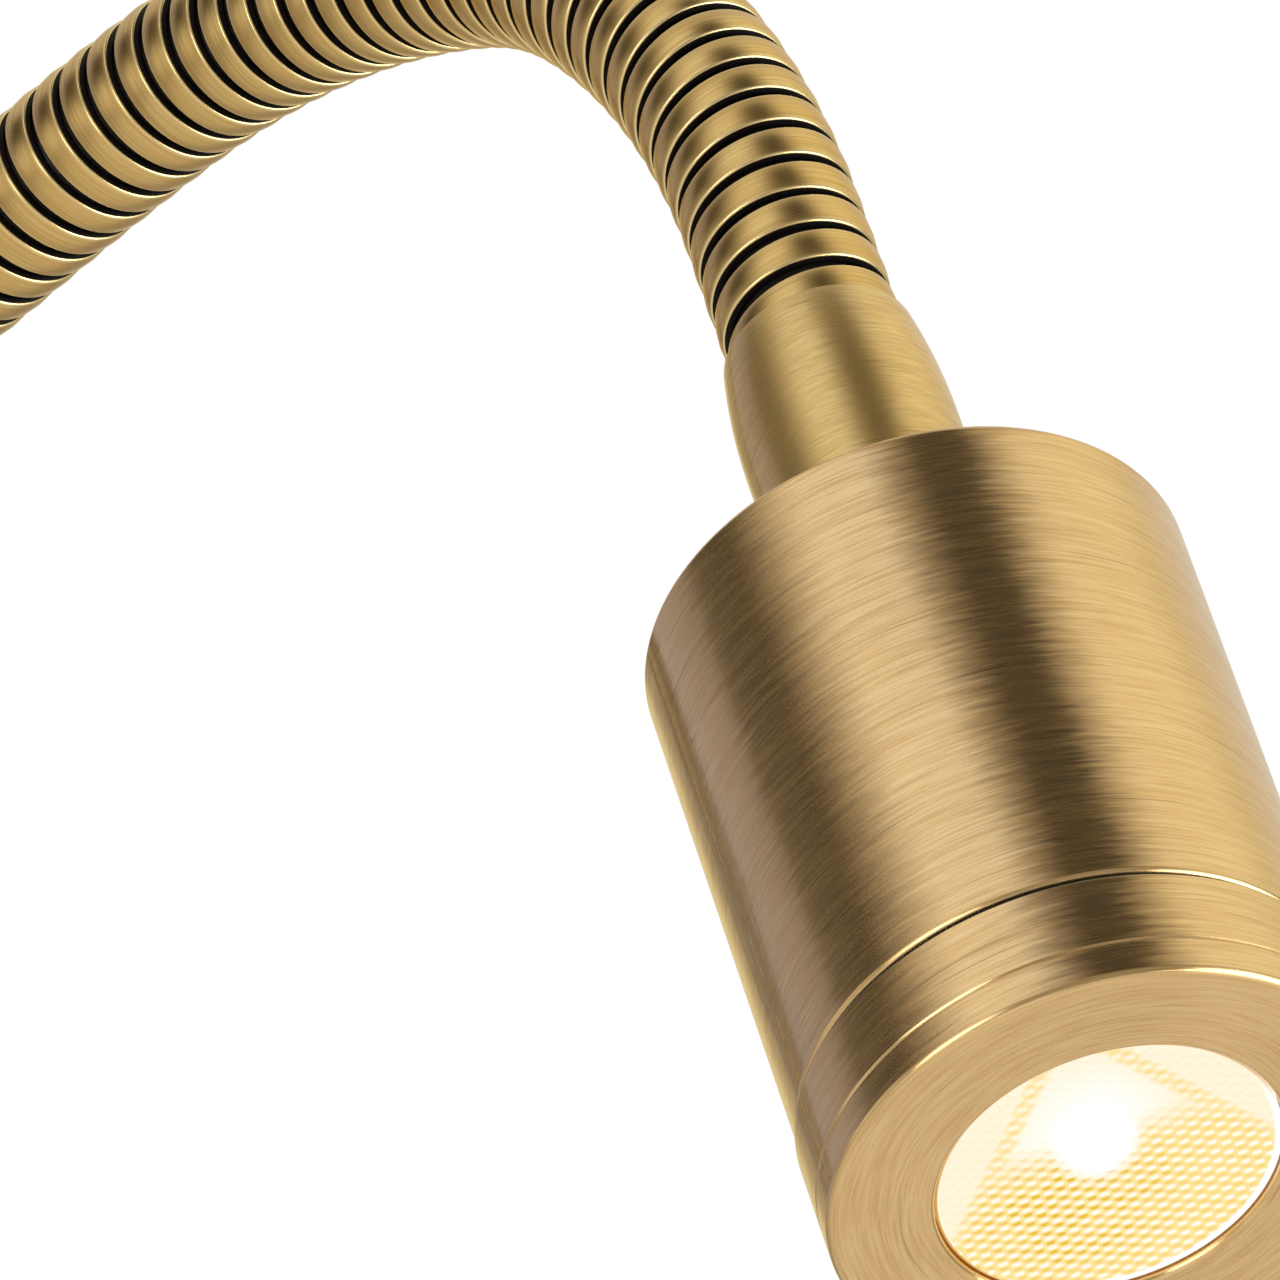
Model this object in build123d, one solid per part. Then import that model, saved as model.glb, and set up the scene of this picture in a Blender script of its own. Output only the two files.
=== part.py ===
from build123d import *
import math
import os

# Wall spotlight: a small LED head on a wound gooseneck, carried by a round wall canopy.
# Frame: the wall is the plane Y = 0 and the lamp stands out towards -Y, with Z up.
# The origin is the centre of the wall plate's back face. Millimetres throughout.

# Gooseneck: a flat band wound into a hose round the lead
NECK_OD = 11.8
NECK_BORE = 6.4
GROOVE_DEPTH = 0.7
GROOVE_WIDTH = 0.45
BAND_EDGE = 0.15
PITCH = 3.05
RIBS_PER_STRETCH = 6
STRETCHES = 12
SOCKET_RIBS = 4
STRETCH_GAP = 0.2
LEAD_OD = 4.2

# Bends of the neck from the wall outwards: run lengths, and their turns in degrees, up positive
STRAIGHT_START = 12.0
RISE_ANGLE = 11.1
BEND_RUNS = [17.0, 36.0, 13.1, 32.2, 12.0]
BEND_ANGLES = [-3.4, -27.0, -20.0, -28.4, 0.0]

# Collars, hollow nipples and their nuts, alike at both ends of the neck
COLLAR_LEN = 24.6
COLLAR_WALL = 1.2
COLLAR_RIM_WALL = 0.46
COLLAR_SHOULDER = 8.6
NIPPLE_OD = 10.0
NIPPLE_BORE = 6.4
NIPPLE_TAIL = 1.5
NUT_WALL = 2.0
NUT_T = 3.0
WASHER_WIDTH = 2.3
WASHER_T = 0.6
LEAD_TAIL = 1.0

# Wall canopy and plate
CANOPY_OD = 80.0
CANOPY_DEPTH = 22.0
CANOPY_WALL = 1.2
CANOPY_EDGE = 3.0
PLATE_CLEARANCE = 2.8
PLATE_T = 1.5
WALL_SCREW_SPACING = 56.0
WALL_SCREW_HOLE = 4.5
CABLE_HOLE = 12.0
TAB_WIDTH = 12.0
TAB_LEN = 12.0
TAB_CLEARANCE = 0.4
CANOPY_SCREW_D = 3.9
CANOPY_SCREW_HEAD_D = 7.0
CANOPY_SCREW_HEAD_T = 2.0
CANOPY_SCREW_HEIGHT = 7.5
CANOPY_SCREW_TAIL = 1.0
SCREW_SLOT = 0.7

# What the canopy holds
DRIVER_SIZE = (36.0, 17.0, 13.0)
DRIVER_BOTTOM = 11.0
DRIVER_EDGE = 1.0
FLANGE_LEN = 5.0
FLANGE_T = 1.6
FLANGE_WIDTH = 9.0
SMALL_SCREW_D = 2.4
SMALL_SCREW_HEAD_D = 3.8
SMALL_SCREW_HEAD_T = 1.4
TERMINAL_SIZE = (13.0, 11.0, 11.5)
TERMINAL_AT = (-18.5, -15.5)
TERMINAL_PEG_D = 3.2
TERMINAL_ENTRY_D = 3.0
TERMINAL_PITCH = 6.0
TERMINAL_SCREW_D = 2.6
TERMINAL_SCREW_LEN = 4.0
TERMINAL_SCREW_RECESS = 0.8
EARTH_AT = (18.5, -17.0)
EARTH_SCREW_D = 4.0
EARTH_HEAD_D = 8.0
EARTH_HEAD_T = 2.6
WIRE_D = 1.6
WIRE_BEND = 1.2
WIRE_RISE = 3.5
OUTPUT_RISE = 7.0

# Push switch in the canopy's face, below the arm
SWITCH_INSET = 16.0
SWITCH_CASE = 13.0
SWITCH_CASE_DEPTH = 10.0
SWITCH_BUSH_WALL = 1.4
SWITCH_BUSH_OUT = 3.0
SWITCH_NUT_WIDTH = 2.5
SWITCH_NUT_T = 2.2
SWITCH_NUT_EDGE = 0.6
SWITCH_STOP = 0.3
BUTTON_D = 8.6
BUTTON_OUT = 2.8
BUTTON_IN = 3.5
BUTTON_TRAVEL = 2.5
BUTTON_EDGE = 0.8
BUTTON_CLEARANCE = 0.2
LUG_T = 0.8
LUG_WIDTH = 3.0
LUG_SPACING = 6.0

# Lamp head
HEAD_OD = 36.0
HEAD_LEN = 48.4
HEAD_WALL = 1.6
HEAD_BACK = 3.0
HEAD_EDGE = 0.5
SINK_LEDGE = 1.4
BEZEL_LEN = 8.8
BEZEL_PROUD = 0.3
BEZEL_EDGE = 0.5
SEAM = 0.35
SPIGOT_LEN = 5.0
SPIGOT_WALL = 1.4
FACE_T = 2.0
OPENING_D = 22.7
WIRE_ROOM = 7.9
PAD_T = 0.3
BOARD_D = 23.0
BOARD_T = 1.6
BOARD_SCREW_RADIUS = 8.8
BOARD_SCREW_DEPTH = 6.0
CHIP_SIZE = 3.4
CHIP_T = 0.7
CHIP_DOME_R = 1.25
SEAL_T = 0.4
SEAL_WIDTH = 1.4
LENS_HEIGHT = 11.8
LENS_LIP = 1.4
LENS_LIP_T = 1.5
LENS_RECESS = 0.5
LENS_STEM_R = 4.6
LENS_FLARE = 0.62
LENS_LIFT = 1.3
LENS_POCKET_R = 2.6
LENS_POCKET_DEPTH = 4.0
HOLDER_WALL = 1.0
HOLDER_FOOT = 1.6
HEAD_WIRE_D = 1.0
HEAD_WIRE_PITCH = 1.5
HEAD_WIRE_CLEARANCE = 1.2
HEAD_WIRE_HOLE_D = 3.4

# Fits
SLIP = 0.1
THREAD_CLEARANCE = 0.05
HOLE_CLEARANCE = 0.2

# Neck and collars, worked out
NECK_R = NECK_OD / 2
STRETCH = RIBS_PER_STRETCH * PITCH
NECK_LEN = STRETCHES * STRETCH
RISING_RUN = NECK_LEN - STRAIGHT_START - sum(BEND_RUNS)
RUNS = [(STRAIGHT_START, 0.0), (RISING_RUN, RISE_ANGLE)] + list(zip(BEND_RUNS, BEND_ANGLES))
SOCKET_R = NECK_R + SLIP
SOCKET_DEPTH = SOCKET_RIBS * PITCH + 2 * STRETCH_GAP
NIPPLE_R = NIPPLE_OD / 2
NIPPLE_HOLE_R = NIPPLE_R + HOLE_CLEARANCE
NIPPLE_OUT = COLLAR_LEN - SOCKET_DEPTH - STRETCH_GAP
BEHIND_PANEL = WASHER_T + NUT_T + NIPPLE_TAIL + LEAD_TAIL

# Canopy, worked out
CANOPY_R = CANOPY_OD / 2
CANOPY_BORE = CANOPY_R - CANOPY_WALL
CANOPY_INNER = CANOPY_DEPTH - CANOPY_WALL
PLATE_R = CANOPY_BORE - PLATE_CLEARANCE
TAB_FACE = math.sqrt(CANOPY_BORE**2 - (TAB_WIDTH / 2) ** 2) - TAB_CLEARANCE
DRIVER_X = DRIVER_SIZE[0] / 2
DRIVER_Y = DRIVER_BOTTOM + DRIVER_SIZE[1] / 2
DRIVER_HOLES = {side: (side * (DRIVER_X + FLANGE_LEN / 2), DRIVER_Y) for side in (-1, 1)}
TERMINAL_TOP = PLATE_T + TERMINAL_SIZE[2]
TERMINAL_WAYS = [(TERMINAL_AT[0] + side * TERMINAL_PITCH / 2, TERMINAL_AT[1]) for side in (-1, 1)]
WIRE_HEIGHT = PLATE_T + WIRE_RISE
SWITCH_DROP = CANOPY_R - SWITCH_INSET
SWITCH_AT = (0.0, -SWITCH_DROP)
SWITCH_BACK = CANOPY_INNER - SWITCH_CASE_DEPTH
SWITCH_WELL_R = BUTTON_D / 2 + BUTTON_CLEARANCE
SWITCH_BUSH_R = SWITCH_WELL_R + SWITCH_BUSH_WALL
BUTTON_LOW = CANOPY_INNER - BUTTON_IN
BUTTON_HIGH = CANOPY_DEPTH + SWITCH_BUSH_OUT + BUTTON_OUT

# Head, worked out
HEAD_R = HEAD_OD / 2
HEAD_BORE = HEAD_R - HEAD_WALL
OPENING_R = OPENING_D / 2
SEAM_Z = HEAD_LEN - BEZEL_LEN
LENS_TOP = HEAD_LEN - FACE_T - SEAL_T
LIP_Z = LENS_TOP - LENS_LIP_T
LENS_FOOT = LENS_TOP - LENS_HEIGHT
BOARD_TOP = LENS_FOOT - LENS_LIFT
BOARD_Z = BOARD_TOP - BOARD_T
SINK_TOP = BOARD_Z - PAD_T
SINK_SEAT = HEAD_BACK + BEHIND_PANEL + WIRE_ROOM
BOARD_SCREWS_X = (-BOARD_SCREW_RADIUS, BOARD_SCREW_RADIUS)
HEAD_WIRE_RADIUS = BOARD_D / 2 + HEAD_WIRE_CLEARANCE + HEAD_WIRE_D / 2


def heading(angle):
    """Direction of the neck, as an angle above the horizontal, away from the wall."""
    return Vector(0, -math.cos(angle), math.sin(angle))


def neck_point(s):
    """Point and heading of the neck's axis at arc length s from the wall collar's rim."""
    point = Vector(0, -(CANOPY_DEPTH + COLLAR_LEN), 0)
    angle = 0.0
    left = s
    for run, turn in RUNS:
        step = max(0.0, min(left, run))
        bend = math.radians(turn) * step / run
        chord = step
        if bend:
            chord = 2 * step / bend * math.sin(bend / 2)
        point = point + heading(angle + bend / 2) * chord
        angle = angle + bend
        left = left - step
        if left <= 0:
            break
    return point + heading(angle) * left, angle


def neck_plane(s):
    """Section plane of the neck at arc length s, with its X axis along +X."""
    point, angle = neck_point(s)
    return Plane(origin=point, x_dir=(1, 0, 0), z_dir=heading(angle))


def neck_path(start, end):
    """Axis of the neck from start to end, as straight runs and tangent arcs."""
    marks = [0.0]
    for run, turn in RUNS:
        marks.append(marks[-1] + run)
    inner = [m for m in marks if start + STRETCH_GAP < m < end - STRETCH_GAP]
    stops = [start] + inner + [end]
    edges = []
    for low, high in zip(stops, stops[1:]):
        first, turn_in = neck_point(low)
        last, turn_out = neck_point(high)
        middle, turn_mid = neck_point((low + high) / 2)
        if abs(turn_out - turn_in) < 1e-6:
            edges.append(Line(first, last))
        else:
            edges.append(ThreePointArc(first, middle, last))
    return Wire(edges)


def neck_tube(start, end, diameter):
    """Round tube along the neck's axis."""
    return sweep(neck_plane(start) * Circle(diameter / 2), path=neck_path(start, end))


def gooseneck(start, ribs, trim_start, trim_end):
    """Stretch of the wound hose: one rib for each turn of the band, round the bore."""
    root = NECK_R - GROOVE_DEPTH
    end = start + ribs * PITCH
    sections = []
    for k in range(ribs):
        low = start + k * PITCH + GROOVE_WIDTH / 2
        high = start + (k + 1) * PITCH - GROOVE_WIDTH / 2
        sections.append((low, root))
        sections.append((low + BAND_EDGE, NECK_R))
        sections.append((high - BAND_EDGE, NECK_R))
        sections.append((high, root))
    sections = [(start + trim_start, root)] + sections + [(end - trim_end, root)]
    hose = loft([neck_plane(s) * Circle(r) for s, r in sections], ruled=True)
    return hose - neck_tube(start - PITCH, end + PITCH, NECK_BORE)


def disc(radius, low, high):
    """Round disc or rod about the local Z axis, from low to high."""
    centred = (Align.CENTER, Align.CENTER, Align.MIN)
    return Pos(0, 0, low) * Cylinder(radius, high - low, align=centred)


def ring(outer, inner, low, high):
    """Ring about the local Z axis."""
    return disc(outer, low, high) - disc(inner, low, high)


def block(size, at, low):
    """Box of the given size, centred at a point in X and Y, standing on low."""
    length, width, height = size
    centred = (Align.CENTER, Align.CENTER, Align.MIN)
    return Pos(at[0], at[1], low) * Box(length, width, height, align=centred)


def cross_hole(radius, height):
    """Hole along X, right across the canopy, at a height above the wall."""
    return Pos(0, 0, height) * Cylinder(radius, 2 * CANOPY_OD, rotation=(0, 90, 0))


def screw(diameter, length, head_d, head_t):
    """Slotted screw about Z: the head stands on Z = 0 and the shank goes down."""
    slot = Pos(0, 0, head_t) * Box(head_d * 2, SCREW_SLOT, head_t)
    return disc(head_d / 2, 0, head_t) - slot + disc(diameter / 2, -length, 0)


def wire(points, diameter):
    """Insulated wire through the given points."""
    path = FilletPolyline(*points, radius=WIRE_BEND)
    return sweep(Plane(origin=path @ 0, z_dir=path % 0) * Circle(diameter / 2), path=path)


def group(solids):
    """Several separate solids kept as one node."""
    return Compound(children=list(solids))


# Frames: local Z stands out of the wall, out of the canopy's face, and along the head
wall = Plane(origin=(0, 0, 0), x_dir=(1, 0, 0), z_dir=heading(0))
canopy_seat = wall.offset(CANOPY_DEPTH)
neck_end = neck_plane(NECK_LEN)
head = neck_end.offset(COLLAR_LEN)
head_seat = Plane(origin=head.origin, x_dir=(1, 0, 0), z_dir=-head.z_dir)


def collar():
    """Turned collar: threaded on the nipple at its seat, with a socket for the neck."""
    radius = SOCKET_R + COLLAR_WALL
    rim = SOCKET_R + COLLAR_RIM_WALL
    low = COLLAR_LEN - COLLAR_SHOULDER
    shoulder = TangentArc((radius, low), (rim, COLLAR_LEN), tangent=(0, 1))
    side = Line((radius, 0), (radius, low))
    foot = Line((0, 0), (radius, 0))
    top = Line((rim, COLLAR_LEN), (0, COLLAR_LEN))
    axis = Line((0, COLLAR_LEN), (0, 0))
    profile = Plane.XZ * make_face([foot, side, shoulder, top, axis])
    body = revolve(profile, Axis.Z)
    thread = disc(NIPPLE_R + THREAD_CLEARANCE, 0, COLLAR_LEN - SOCKET_DEPTH)
    socket = disc(SOCKET_R, COLLAR_LEN - SOCKET_DEPTH, COLLAR_LEN)
    return body - thread - socket


def nipple(panel):
    """Hollow threaded nipple through a panel, from the collar to behind the nut."""
    low = -(panel + WASHER_T + NUT_T + NIPPLE_TAIL)
    return ring(NIPPLE_R, NIPPLE_BORE / 2, low, NIPPLE_OUT)


def lock_washer(panel):
    """Plain spring washer behind a panel."""
    return ring(NIPPLE_HOLE_R + WASHER_WIDTH, NIPPLE_HOLE_R, -panel - WASHER_T, -panel)


def locknut(panel):
    """Thin hexagon nut that clamps the nipple to a panel."""
    low = -(panel + WASHER_T + NUT_T)
    hexagon = RegularPolygon(NIPPLE_R + NUT_WALL, 6, major_radius=False)
    nut = Pos(0, 0, low) * extrude(hexagon, NUT_T)
    return nut - disc(NIPPLE_R + THREAD_CLEARANCE, low, low + NUT_T)


def wall_plate():
    """Steel plate screwed to the wall, with two bent tabs that carry the canopy."""
    plate = disc(PLATE_R, 0, PLATE_T)
    screw_hole = disc(WALL_SCREW_HOLE / 2, 0, PLATE_T)
    driver_thread = disc(SMALL_SCREW_D / 2 + THREAD_CLEARANCE, 0, PLATE_T)
    for side in (-1, 1):
        tongue = block((TAB_FACE, TAB_WIDTH, PLATE_T), (side * TAB_FACE / 2, 0), 0)
        tab = block((PLATE_T, TAB_WIDTH, TAB_LEN), (side * (TAB_FACE - PLATE_T / 2), 0), 0)
        plate = plate + tongue + tab
        plate = plate - Pos(side * WALL_SCREW_SPACING / 2, 0, 0) * screw_hole
        plate = plate - Pos(*DRIVER_HOLES[side], 0) * driver_thread
    plate = plate - disc(CABLE_HOLE / 2, 0, PLATE_T)
    plate = plate - Pos(*EARTH_AT, 0) * disc(EARTH_SCREW_D / 2 + THREAD_CLEARANCE, 0, PLATE_T)
    plate = plate - Pos(*TERMINAL_AT, 0) * disc(TERMINAL_PEG_D / 2 + SLIP, 0, PLATE_T)
    return plate - cross_hole(CANOPY_SCREW_D / 2 + THREAD_CLEARANCE, CANOPY_SCREW_HEIGHT)


def canopy():
    """Round spun canopy: a cup that hides the plate, open towards the wall."""
    shell = disc(CANOPY_R, 0, CANOPY_DEPTH)
    shell = fillet(shell.edges().group_by(Axis.Z)[-1], CANOPY_EDGE)
    hollow = disc(CANOPY_BORE, 0, CANOPY_INNER)
    hollow = fillet(hollow.edges().group_by(Axis.Z)[-1], CANOPY_EDGE - CANOPY_WALL)
    shell = shell - hollow - disc(NIPPLE_HOLE_R, 0, CANOPY_DEPTH)
    shell = shell - Pos(*SWITCH_AT, 0) * disc(SWITCH_BUSH_R + HOLE_CLEARANCE, 0, CANOPY_DEPTH)
    return shell - cross_hole(CANOPY_SCREW_D / 2 + HOLE_CLEARANCE, CANOPY_SCREW_HEIGHT)


def canopy_screws():
    """Two screws from the sides, through the canopy into the plate's tabs."""
    length = CANOPY_R - TAB_FACE + PLATE_T + CANOPY_SCREW_TAIL
    one = screw(CANOPY_SCREW_D, length, CANOPY_SCREW_HEAD_D, CANOPY_SCREW_HEAD_T)
    solids = []
    for side in (-1, 1):
        solids.append(Pos(side * CANOPY_R, 0, CANOPY_SCREW_HEIGHT) * Rot(0, side * 90, 0) * one)
    return group(solids)


def led_driver():
    """Constant-current driver in a closed case with two screw flanges."""
    case = block(DRIVER_SIZE, (0, DRIVER_Y), PLATE_T)
    case = fillet(case.edges().filter_by(Axis.Z), DRIVER_EDGE)
    length = DRIVER_SIZE[0] + 2 * FLANGE_LEN
    case = case + block((length, FLANGE_WIDTH, FLANGE_T), (0, DRIVER_Y), PLATE_T)
    for at in DRIVER_HOLES.values():
        case = case - Pos(*at, 0) * disc(SMALL_SCREW_D / 2 + HOLE_CLEARANCE, 0, CANOPY_DEPTH)
    return case


def driver_screws():
    """Two small screws that hold the driver on the plate."""
    one = screw(SMALL_SCREW_D, FLANGE_T + PLATE_T, SMALL_SCREW_HEAD_D, SMALL_SCREW_HEAD_T)
    return group(Pos(*at, PLATE_T + FLANGE_T) * one for at in DRIVER_HOLES.values())


def terminal_block():
    """Two-way terminal block, pegged into the plate, where the house cable ends."""
    body = block(TERMINAL_SIZE, TERMINAL_AT, PLATE_T)
    body = body + Pos(*TERMINAL_AT, 0) * disc(TERMINAL_PEG_D / 2, 0, PLATE_T)
    entry = Cylinder(TERMINAL_ENTRY_D / 2, 2 * TERMINAL_SIZE[1], rotation=(90, 0, 0))
    well = disc(TERMINAL_SCREW_D / 2 + SLIP, TERMINAL_TOP - TERMINAL_SCREW_LEN, TERMINAL_TOP)
    for x, y in TERMINAL_WAYS:
        body = body - Pos(x, y, WIRE_HEIGHT) * entry - Pos(x, y, 0) * well
    return body


def terminal_screws():
    """Clamping screws in the terminal block's wells."""
    low = TERMINAL_TOP - TERMINAL_SCREW_LEN
    high = TERMINAL_TOP - TERMINAL_SCREW_RECESS
    slot = Pos(0, 0, high) * Box(TERMINAL_SCREW_D * 2, SCREW_SLOT, TERMINAL_SCREW_RECESS)
    one = disc(TERMINAL_SCREW_D / 2, low, high) - slot
    return group(Pos(x, y, 0) * one for x, y in TERMINAL_WAYS)


def earth_screw():
    """Earth screw in the plate."""
    return Pos(*EARTH_AT, PLATE_T) * screw(EARTH_SCREW_D, PLATE_T, EARTH_HEAD_D, EARTH_HEAD_T)


def switch_body():
    """Push switch: a square case behind the face, two lugs and a threaded bush through it."""
    case = block((SWITCH_CASE, SWITCH_CASE, SWITCH_CASE_DEPTH), (0, 0), SWITCH_BACK)
    body = case + disc(SWITCH_BUSH_R, CANOPY_INNER, CANOPY_DEPTH + SWITCH_BUSH_OUT)
    body = body - disc(SWITCH_WELL_R, BUTTON_LOW - BUTTON_TRAVEL - SWITCH_STOP, BUTTON_HIGH)
    lug_low = WIRE_HEIGHT - WIRE_D / 2
    for side in (-1, 1):
        size = (LUG_T, LUG_WIDTH, SWITCH_BACK - lug_low)
        body = body + block(size, (side * LUG_SPACING / 2, 0), lug_low)
    return Pos(*SWITCH_AT, 0) * body


def switch_nut():
    """Round nut that clamps the switch to the canopy's face."""
    inner = SWITCH_BUSH_R + THREAD_CLEARANCE
    nut = disc(inner + SWITCH_NUT_WIDTH, CANOPY_DEPTH, CANOPY_DEPTH + SWITCH_NUT_T)
    nut = chamfer(nut.edges().group_by(Axis.Z)[-1], SWITCH_NUT_EDGE)
    return Pos(*SWITCH_AT, 0) * (nut - disc(inner, CANOPY_DEPTH, CANOPY_DEPTH + SWITCH_NUT_T))


def switch_button():
    """Push button that slides in the bush, out of the canopy's face."""
    cap = disc(BUTTON_D / 2, BUTTON_LOW, BUTTON_HIGH)
    cap = fillet(cap.edges().group_by(Axis.Z)[-1], BUTTON_EDGE)
    return Pos(*SWITCH_AT, 0) * cap


def supply_wires():
    """Mains wires from the terminal block to the switch and on to the driver."""
    left, right = TERMINAL_WAYS
    height = WIRE_HEIGHT
    terminal_low = TERMINAL_AT[1] - TERMINAL_SIZE[1] / 2
    terminal_high = TERMINAL_AT[1] + TERMINAL_SIZE[1] / 2
    lug = LUG_SPACING / 2 + LUG_T / 2 + WIRE_D / 2
    lug_low = -SWITCH_DROP - LUG_WIDTH / 2
    lug_high = -SWITCH_DROP + LUG_WIDTH / 2
    run = 3 * WIRE_BEND + WIRE_D
    to_switch = [
        (right[0], terminal_low, height),
        (right[0], lug_low - run, height),
        (-lug, lug_low - run, height),
        (-lug, lug_high, height),
    ]
    side_x = CABLE_HOLE / 2 + run
    to_driver = [
        (lug, lug_low, height),
        (lug, lug_high + run, height),
        (side_x, lug_high + run, height),
        (side_x, DRIVER_BOTTOM, height),
    ]
    neutral = [
        (left[0], terminal_high, height),
        (left[0], terminal_high + run, height),
        (-side_x, terminal_high + 2 * run, height),
        (-side_x, DRIVER_BOTTOM, height),
    ]
    return group(wire(points, WIRE_D) for points in (to_switch, to_driver, neutral))


def output_wires():
    """Two low-voltage wires from the neck's lead to the driver."""
    end = CANOPY_INNER - BEHIND_PANEL
    height = PLATE_T + OUTPUT_RISE
    solids = []
    for side in (-1, 1):
        x = side * HEAD_WIRE_PITCH / 2
        points = [(x, 0, end), (x, 0, height), (x, DRIVER_BOTTOM, height)]
        solids.append(wire(points, HEAD_WIRE_D))
    return group(solids)


def head_body():
    """Turned head: a closed back with the nipple's hole, and a seat for the heat sink."""
    body = disc(HEAD_R, 0, SEAM_Z)
    body = fillet(body.edges().group_by(Axis.Z)[0], HEAD_EDGE)
    body = body - disc(HEAD_BORE - SINK_LEDGE, HEAD_BACK, SEAM_Z)
    body = body - disc(HEAD_BORE, SINK_SEAT, SEAM_Z)
    return body - disc(NIPPLE_HOLE_R, 0, HEAD_BACK)


def bezel():
    """Front ring: its spigot goes into the head, and its face clamps the lens."""
    front = disc(HEAD_R + BEZEL_PROUD, SEAM_Z + SEAM, HEAD_LEN)
    front = fillet(front.edges().filter_by(GeomType.CIRCLE), BEZEL_EDGE)
    spigot_r = HEAD_BORE - THREAD_CLEARANCE
    body = front + disc(spigot_r, SEAM_Z - SPIGOT_LEN, SEAM_Z + SEAM + BEZEL_EDGE)
    body = body - disc(spigot_r - SPIGOT_WALL, 0, HEAD_LEN - FACE_T)
    return body - disc(OPENING_R, 0, HEAD_LEN)


def heat_sink():
    """Aluminium slug on the head's seat, with a way for the wires."""
    slug = disc(HEAD_BORE - SLIP, SINK_SEAT, SINK_TOP)
    wire_way = disc(HEAD_WIRE_HOLE_D / 2, SINK_SEAT, SINK_TOP)
    slug = slug - Pos(0, HEAD_WIRE_RADIUS, 0) * wire_way
    thread = disc(SMALL_SCREW_D / 2 + THREAD_CLEARANCE, SINK_TOP - BOARD_SCREW_DEPTH - SLIP, SINK_TOP)
    for x in BOARD_SCREWS_X:
        slug = slug - Pos(x, 0, 0) * thread
    return slug


def board_disc(low, high):
    """Disc of the board's size with the two board screws' holes through it."""
    plate = disc(BOARD_D / 2, low, high)
    for x in BOARD_SCREWS_X:
        plate = plate - Pos(x, 0, 0) * disc(SMALL_SCREW_D / 2 + HOLE_CLEARANCE, low, high)
    return plate


def board_screws():
    """Two screws through the board into the heat sink."""
    length = BOARD_T + PAD_T + BOARD_SCREW_DEPTH
    one = screw(SMALL_SCREW_D, length, SMALL_SCREW_HEAD_D, SMALL_SCREW_HEAD_T)
    return group(Pos(x, 0, BOARD_TOP) * one for x in BOARD_SCREWS_X)


def led_chip():
    """Emitter with its domed primary lens."""
    base = block((CHIP_SIZE, CHIP_SIZE, CHIP_T), (0, 0), BOARD_TOP)
    dome = Pos(0, 0, BOARD_TOP + CHIP_T) * Sphere(CHIP_DOME_R)
    return base + (dome - disc(HEAD_R, 0, BOARD_TOP + CHIP_T))


def bell(offset, low, high):
    """Bell-shaped solid that follows the lens's side, grown outwards by offset."""
    stem = LENS_STEM_R + offset
    mouth = OPENING_R + offset
    half_way = (stem + (mouth - stem) * LENS_FLARE, (low + high) / 2)
    side = ThreePointArc((stem, low), half_way, (mouth, high))
    foot = Line((0, low), (stem, low))
    top = Line((mouth, high), (0, high))
    axis = Line((0, high), (0, low))
    return revolve(Plane.XZ * make_face([foot, side, top, axis]), Axis.Z)


def lens():
    """Moulded collimator: a bell that takes in the emitter, a lip, and a front in the opening."""
    body = bell(0, LENS_FOOT, LIP_Z) + disc(OPENING_R + LENS_LIP, LIP_Z, LENS_TOP)
    body = body + disc(OPENING_R - SLIP, LENS_TOP, HEAD_LEN - LENS_RECESS)
    return body - disc(LENS_POCKET_R, LENS_FOOT, LENS_FOOT + LENS_POCKET_DEPTH)


def lens_holder():
    """Plastic holder that stands on the board and carries the lens's lip."""
    shell = bell(SLIP + HOLDER_WALL, LENS_FOOT, LIP_Z) - bell(SLIP, LENS_FOOT, LIP_Z)
    outer = LENS_STEM_R + SLIP + HOLDER_WALL
    return shell + ring(outer, outer - HOLDER_FOOT, BOARD_TOP, LENS_FOOT)


def lens_seal():
    """Soft ring between the lens's lip and the bezel's face."""
    return ring(OPENING_R + SEAL_WIDTH, OPENING_R, LENS_TOP, LENS_TOP + SEAL_T)


def head_wires():
    """Two wires from the neck's lead, through the heat sink, to the board's edge."""
    start = HEAD_BACK + BEHIND_PANEL
    turn = SINK_SEAT - 2 * WIRE_BEND
    top = BOARD_TOP + HEAD_WIRE_D / 2
    solids = []
    for side in (-1, 1):
        x = side * HEAD_WIRE_PITCH / 2
        points = [
            (x, 0, start),
            (x, 0, turn),
            (x, HEAD_WIRE_RADIUS, turn),
            (x, HEAD_WIRE_RADIUS, top),
            (x, BOARD_D / 2 - 2 * HEAD_WIRE_D, top),
        ]
        solids.append(wire(points, HEAD_WIRE_D))
    return group(solids)


def neck_nodes():
    """Stretches of the hose and of the lead inside it, from the wall outwards."""
    stretches = {}
    half_gap = STRETCH_GAP / 2
    for k in range(STRETCHES):
        start = k * STRETCH
        ribs = RIBS_PER_STRETCH
        low = start + half_gap
        high = start + STRETCH - half_gap
        trims = [half_gap, half_gap]
        if k == 0:
            start = start - SOCKET_RIBS * PITCH
            ribs = ribs + SOCKET_RIBS
            low = -(COLLAR_LEN + CANOPY_WALL + BEHIND_PANEL)
            trims[0] = 0
        if k == STRETCHES - 1:
            ribs = ribs + SOCKET_RIBS
            high = NECK_LEN + COLLAR_LEN + HEAD_BACK + BEHIND_PANEL
            trims[1] = 0
        stretches[f"gooseneck_{k + 1:02d}"] = gooseneck(start, ribs, *trims)
        lead = neck_tube(low, high, LEAD_OD)
        share = lead.volume / (math.pi * LEAD_OD**2 / 4 * (high - low))
        print(f"lead_{k + 1:02d}: volume over section times length {share:.5f}")
        stretches[f"lead_{k + 1:02d}"] = lead
    return stretches


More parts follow.
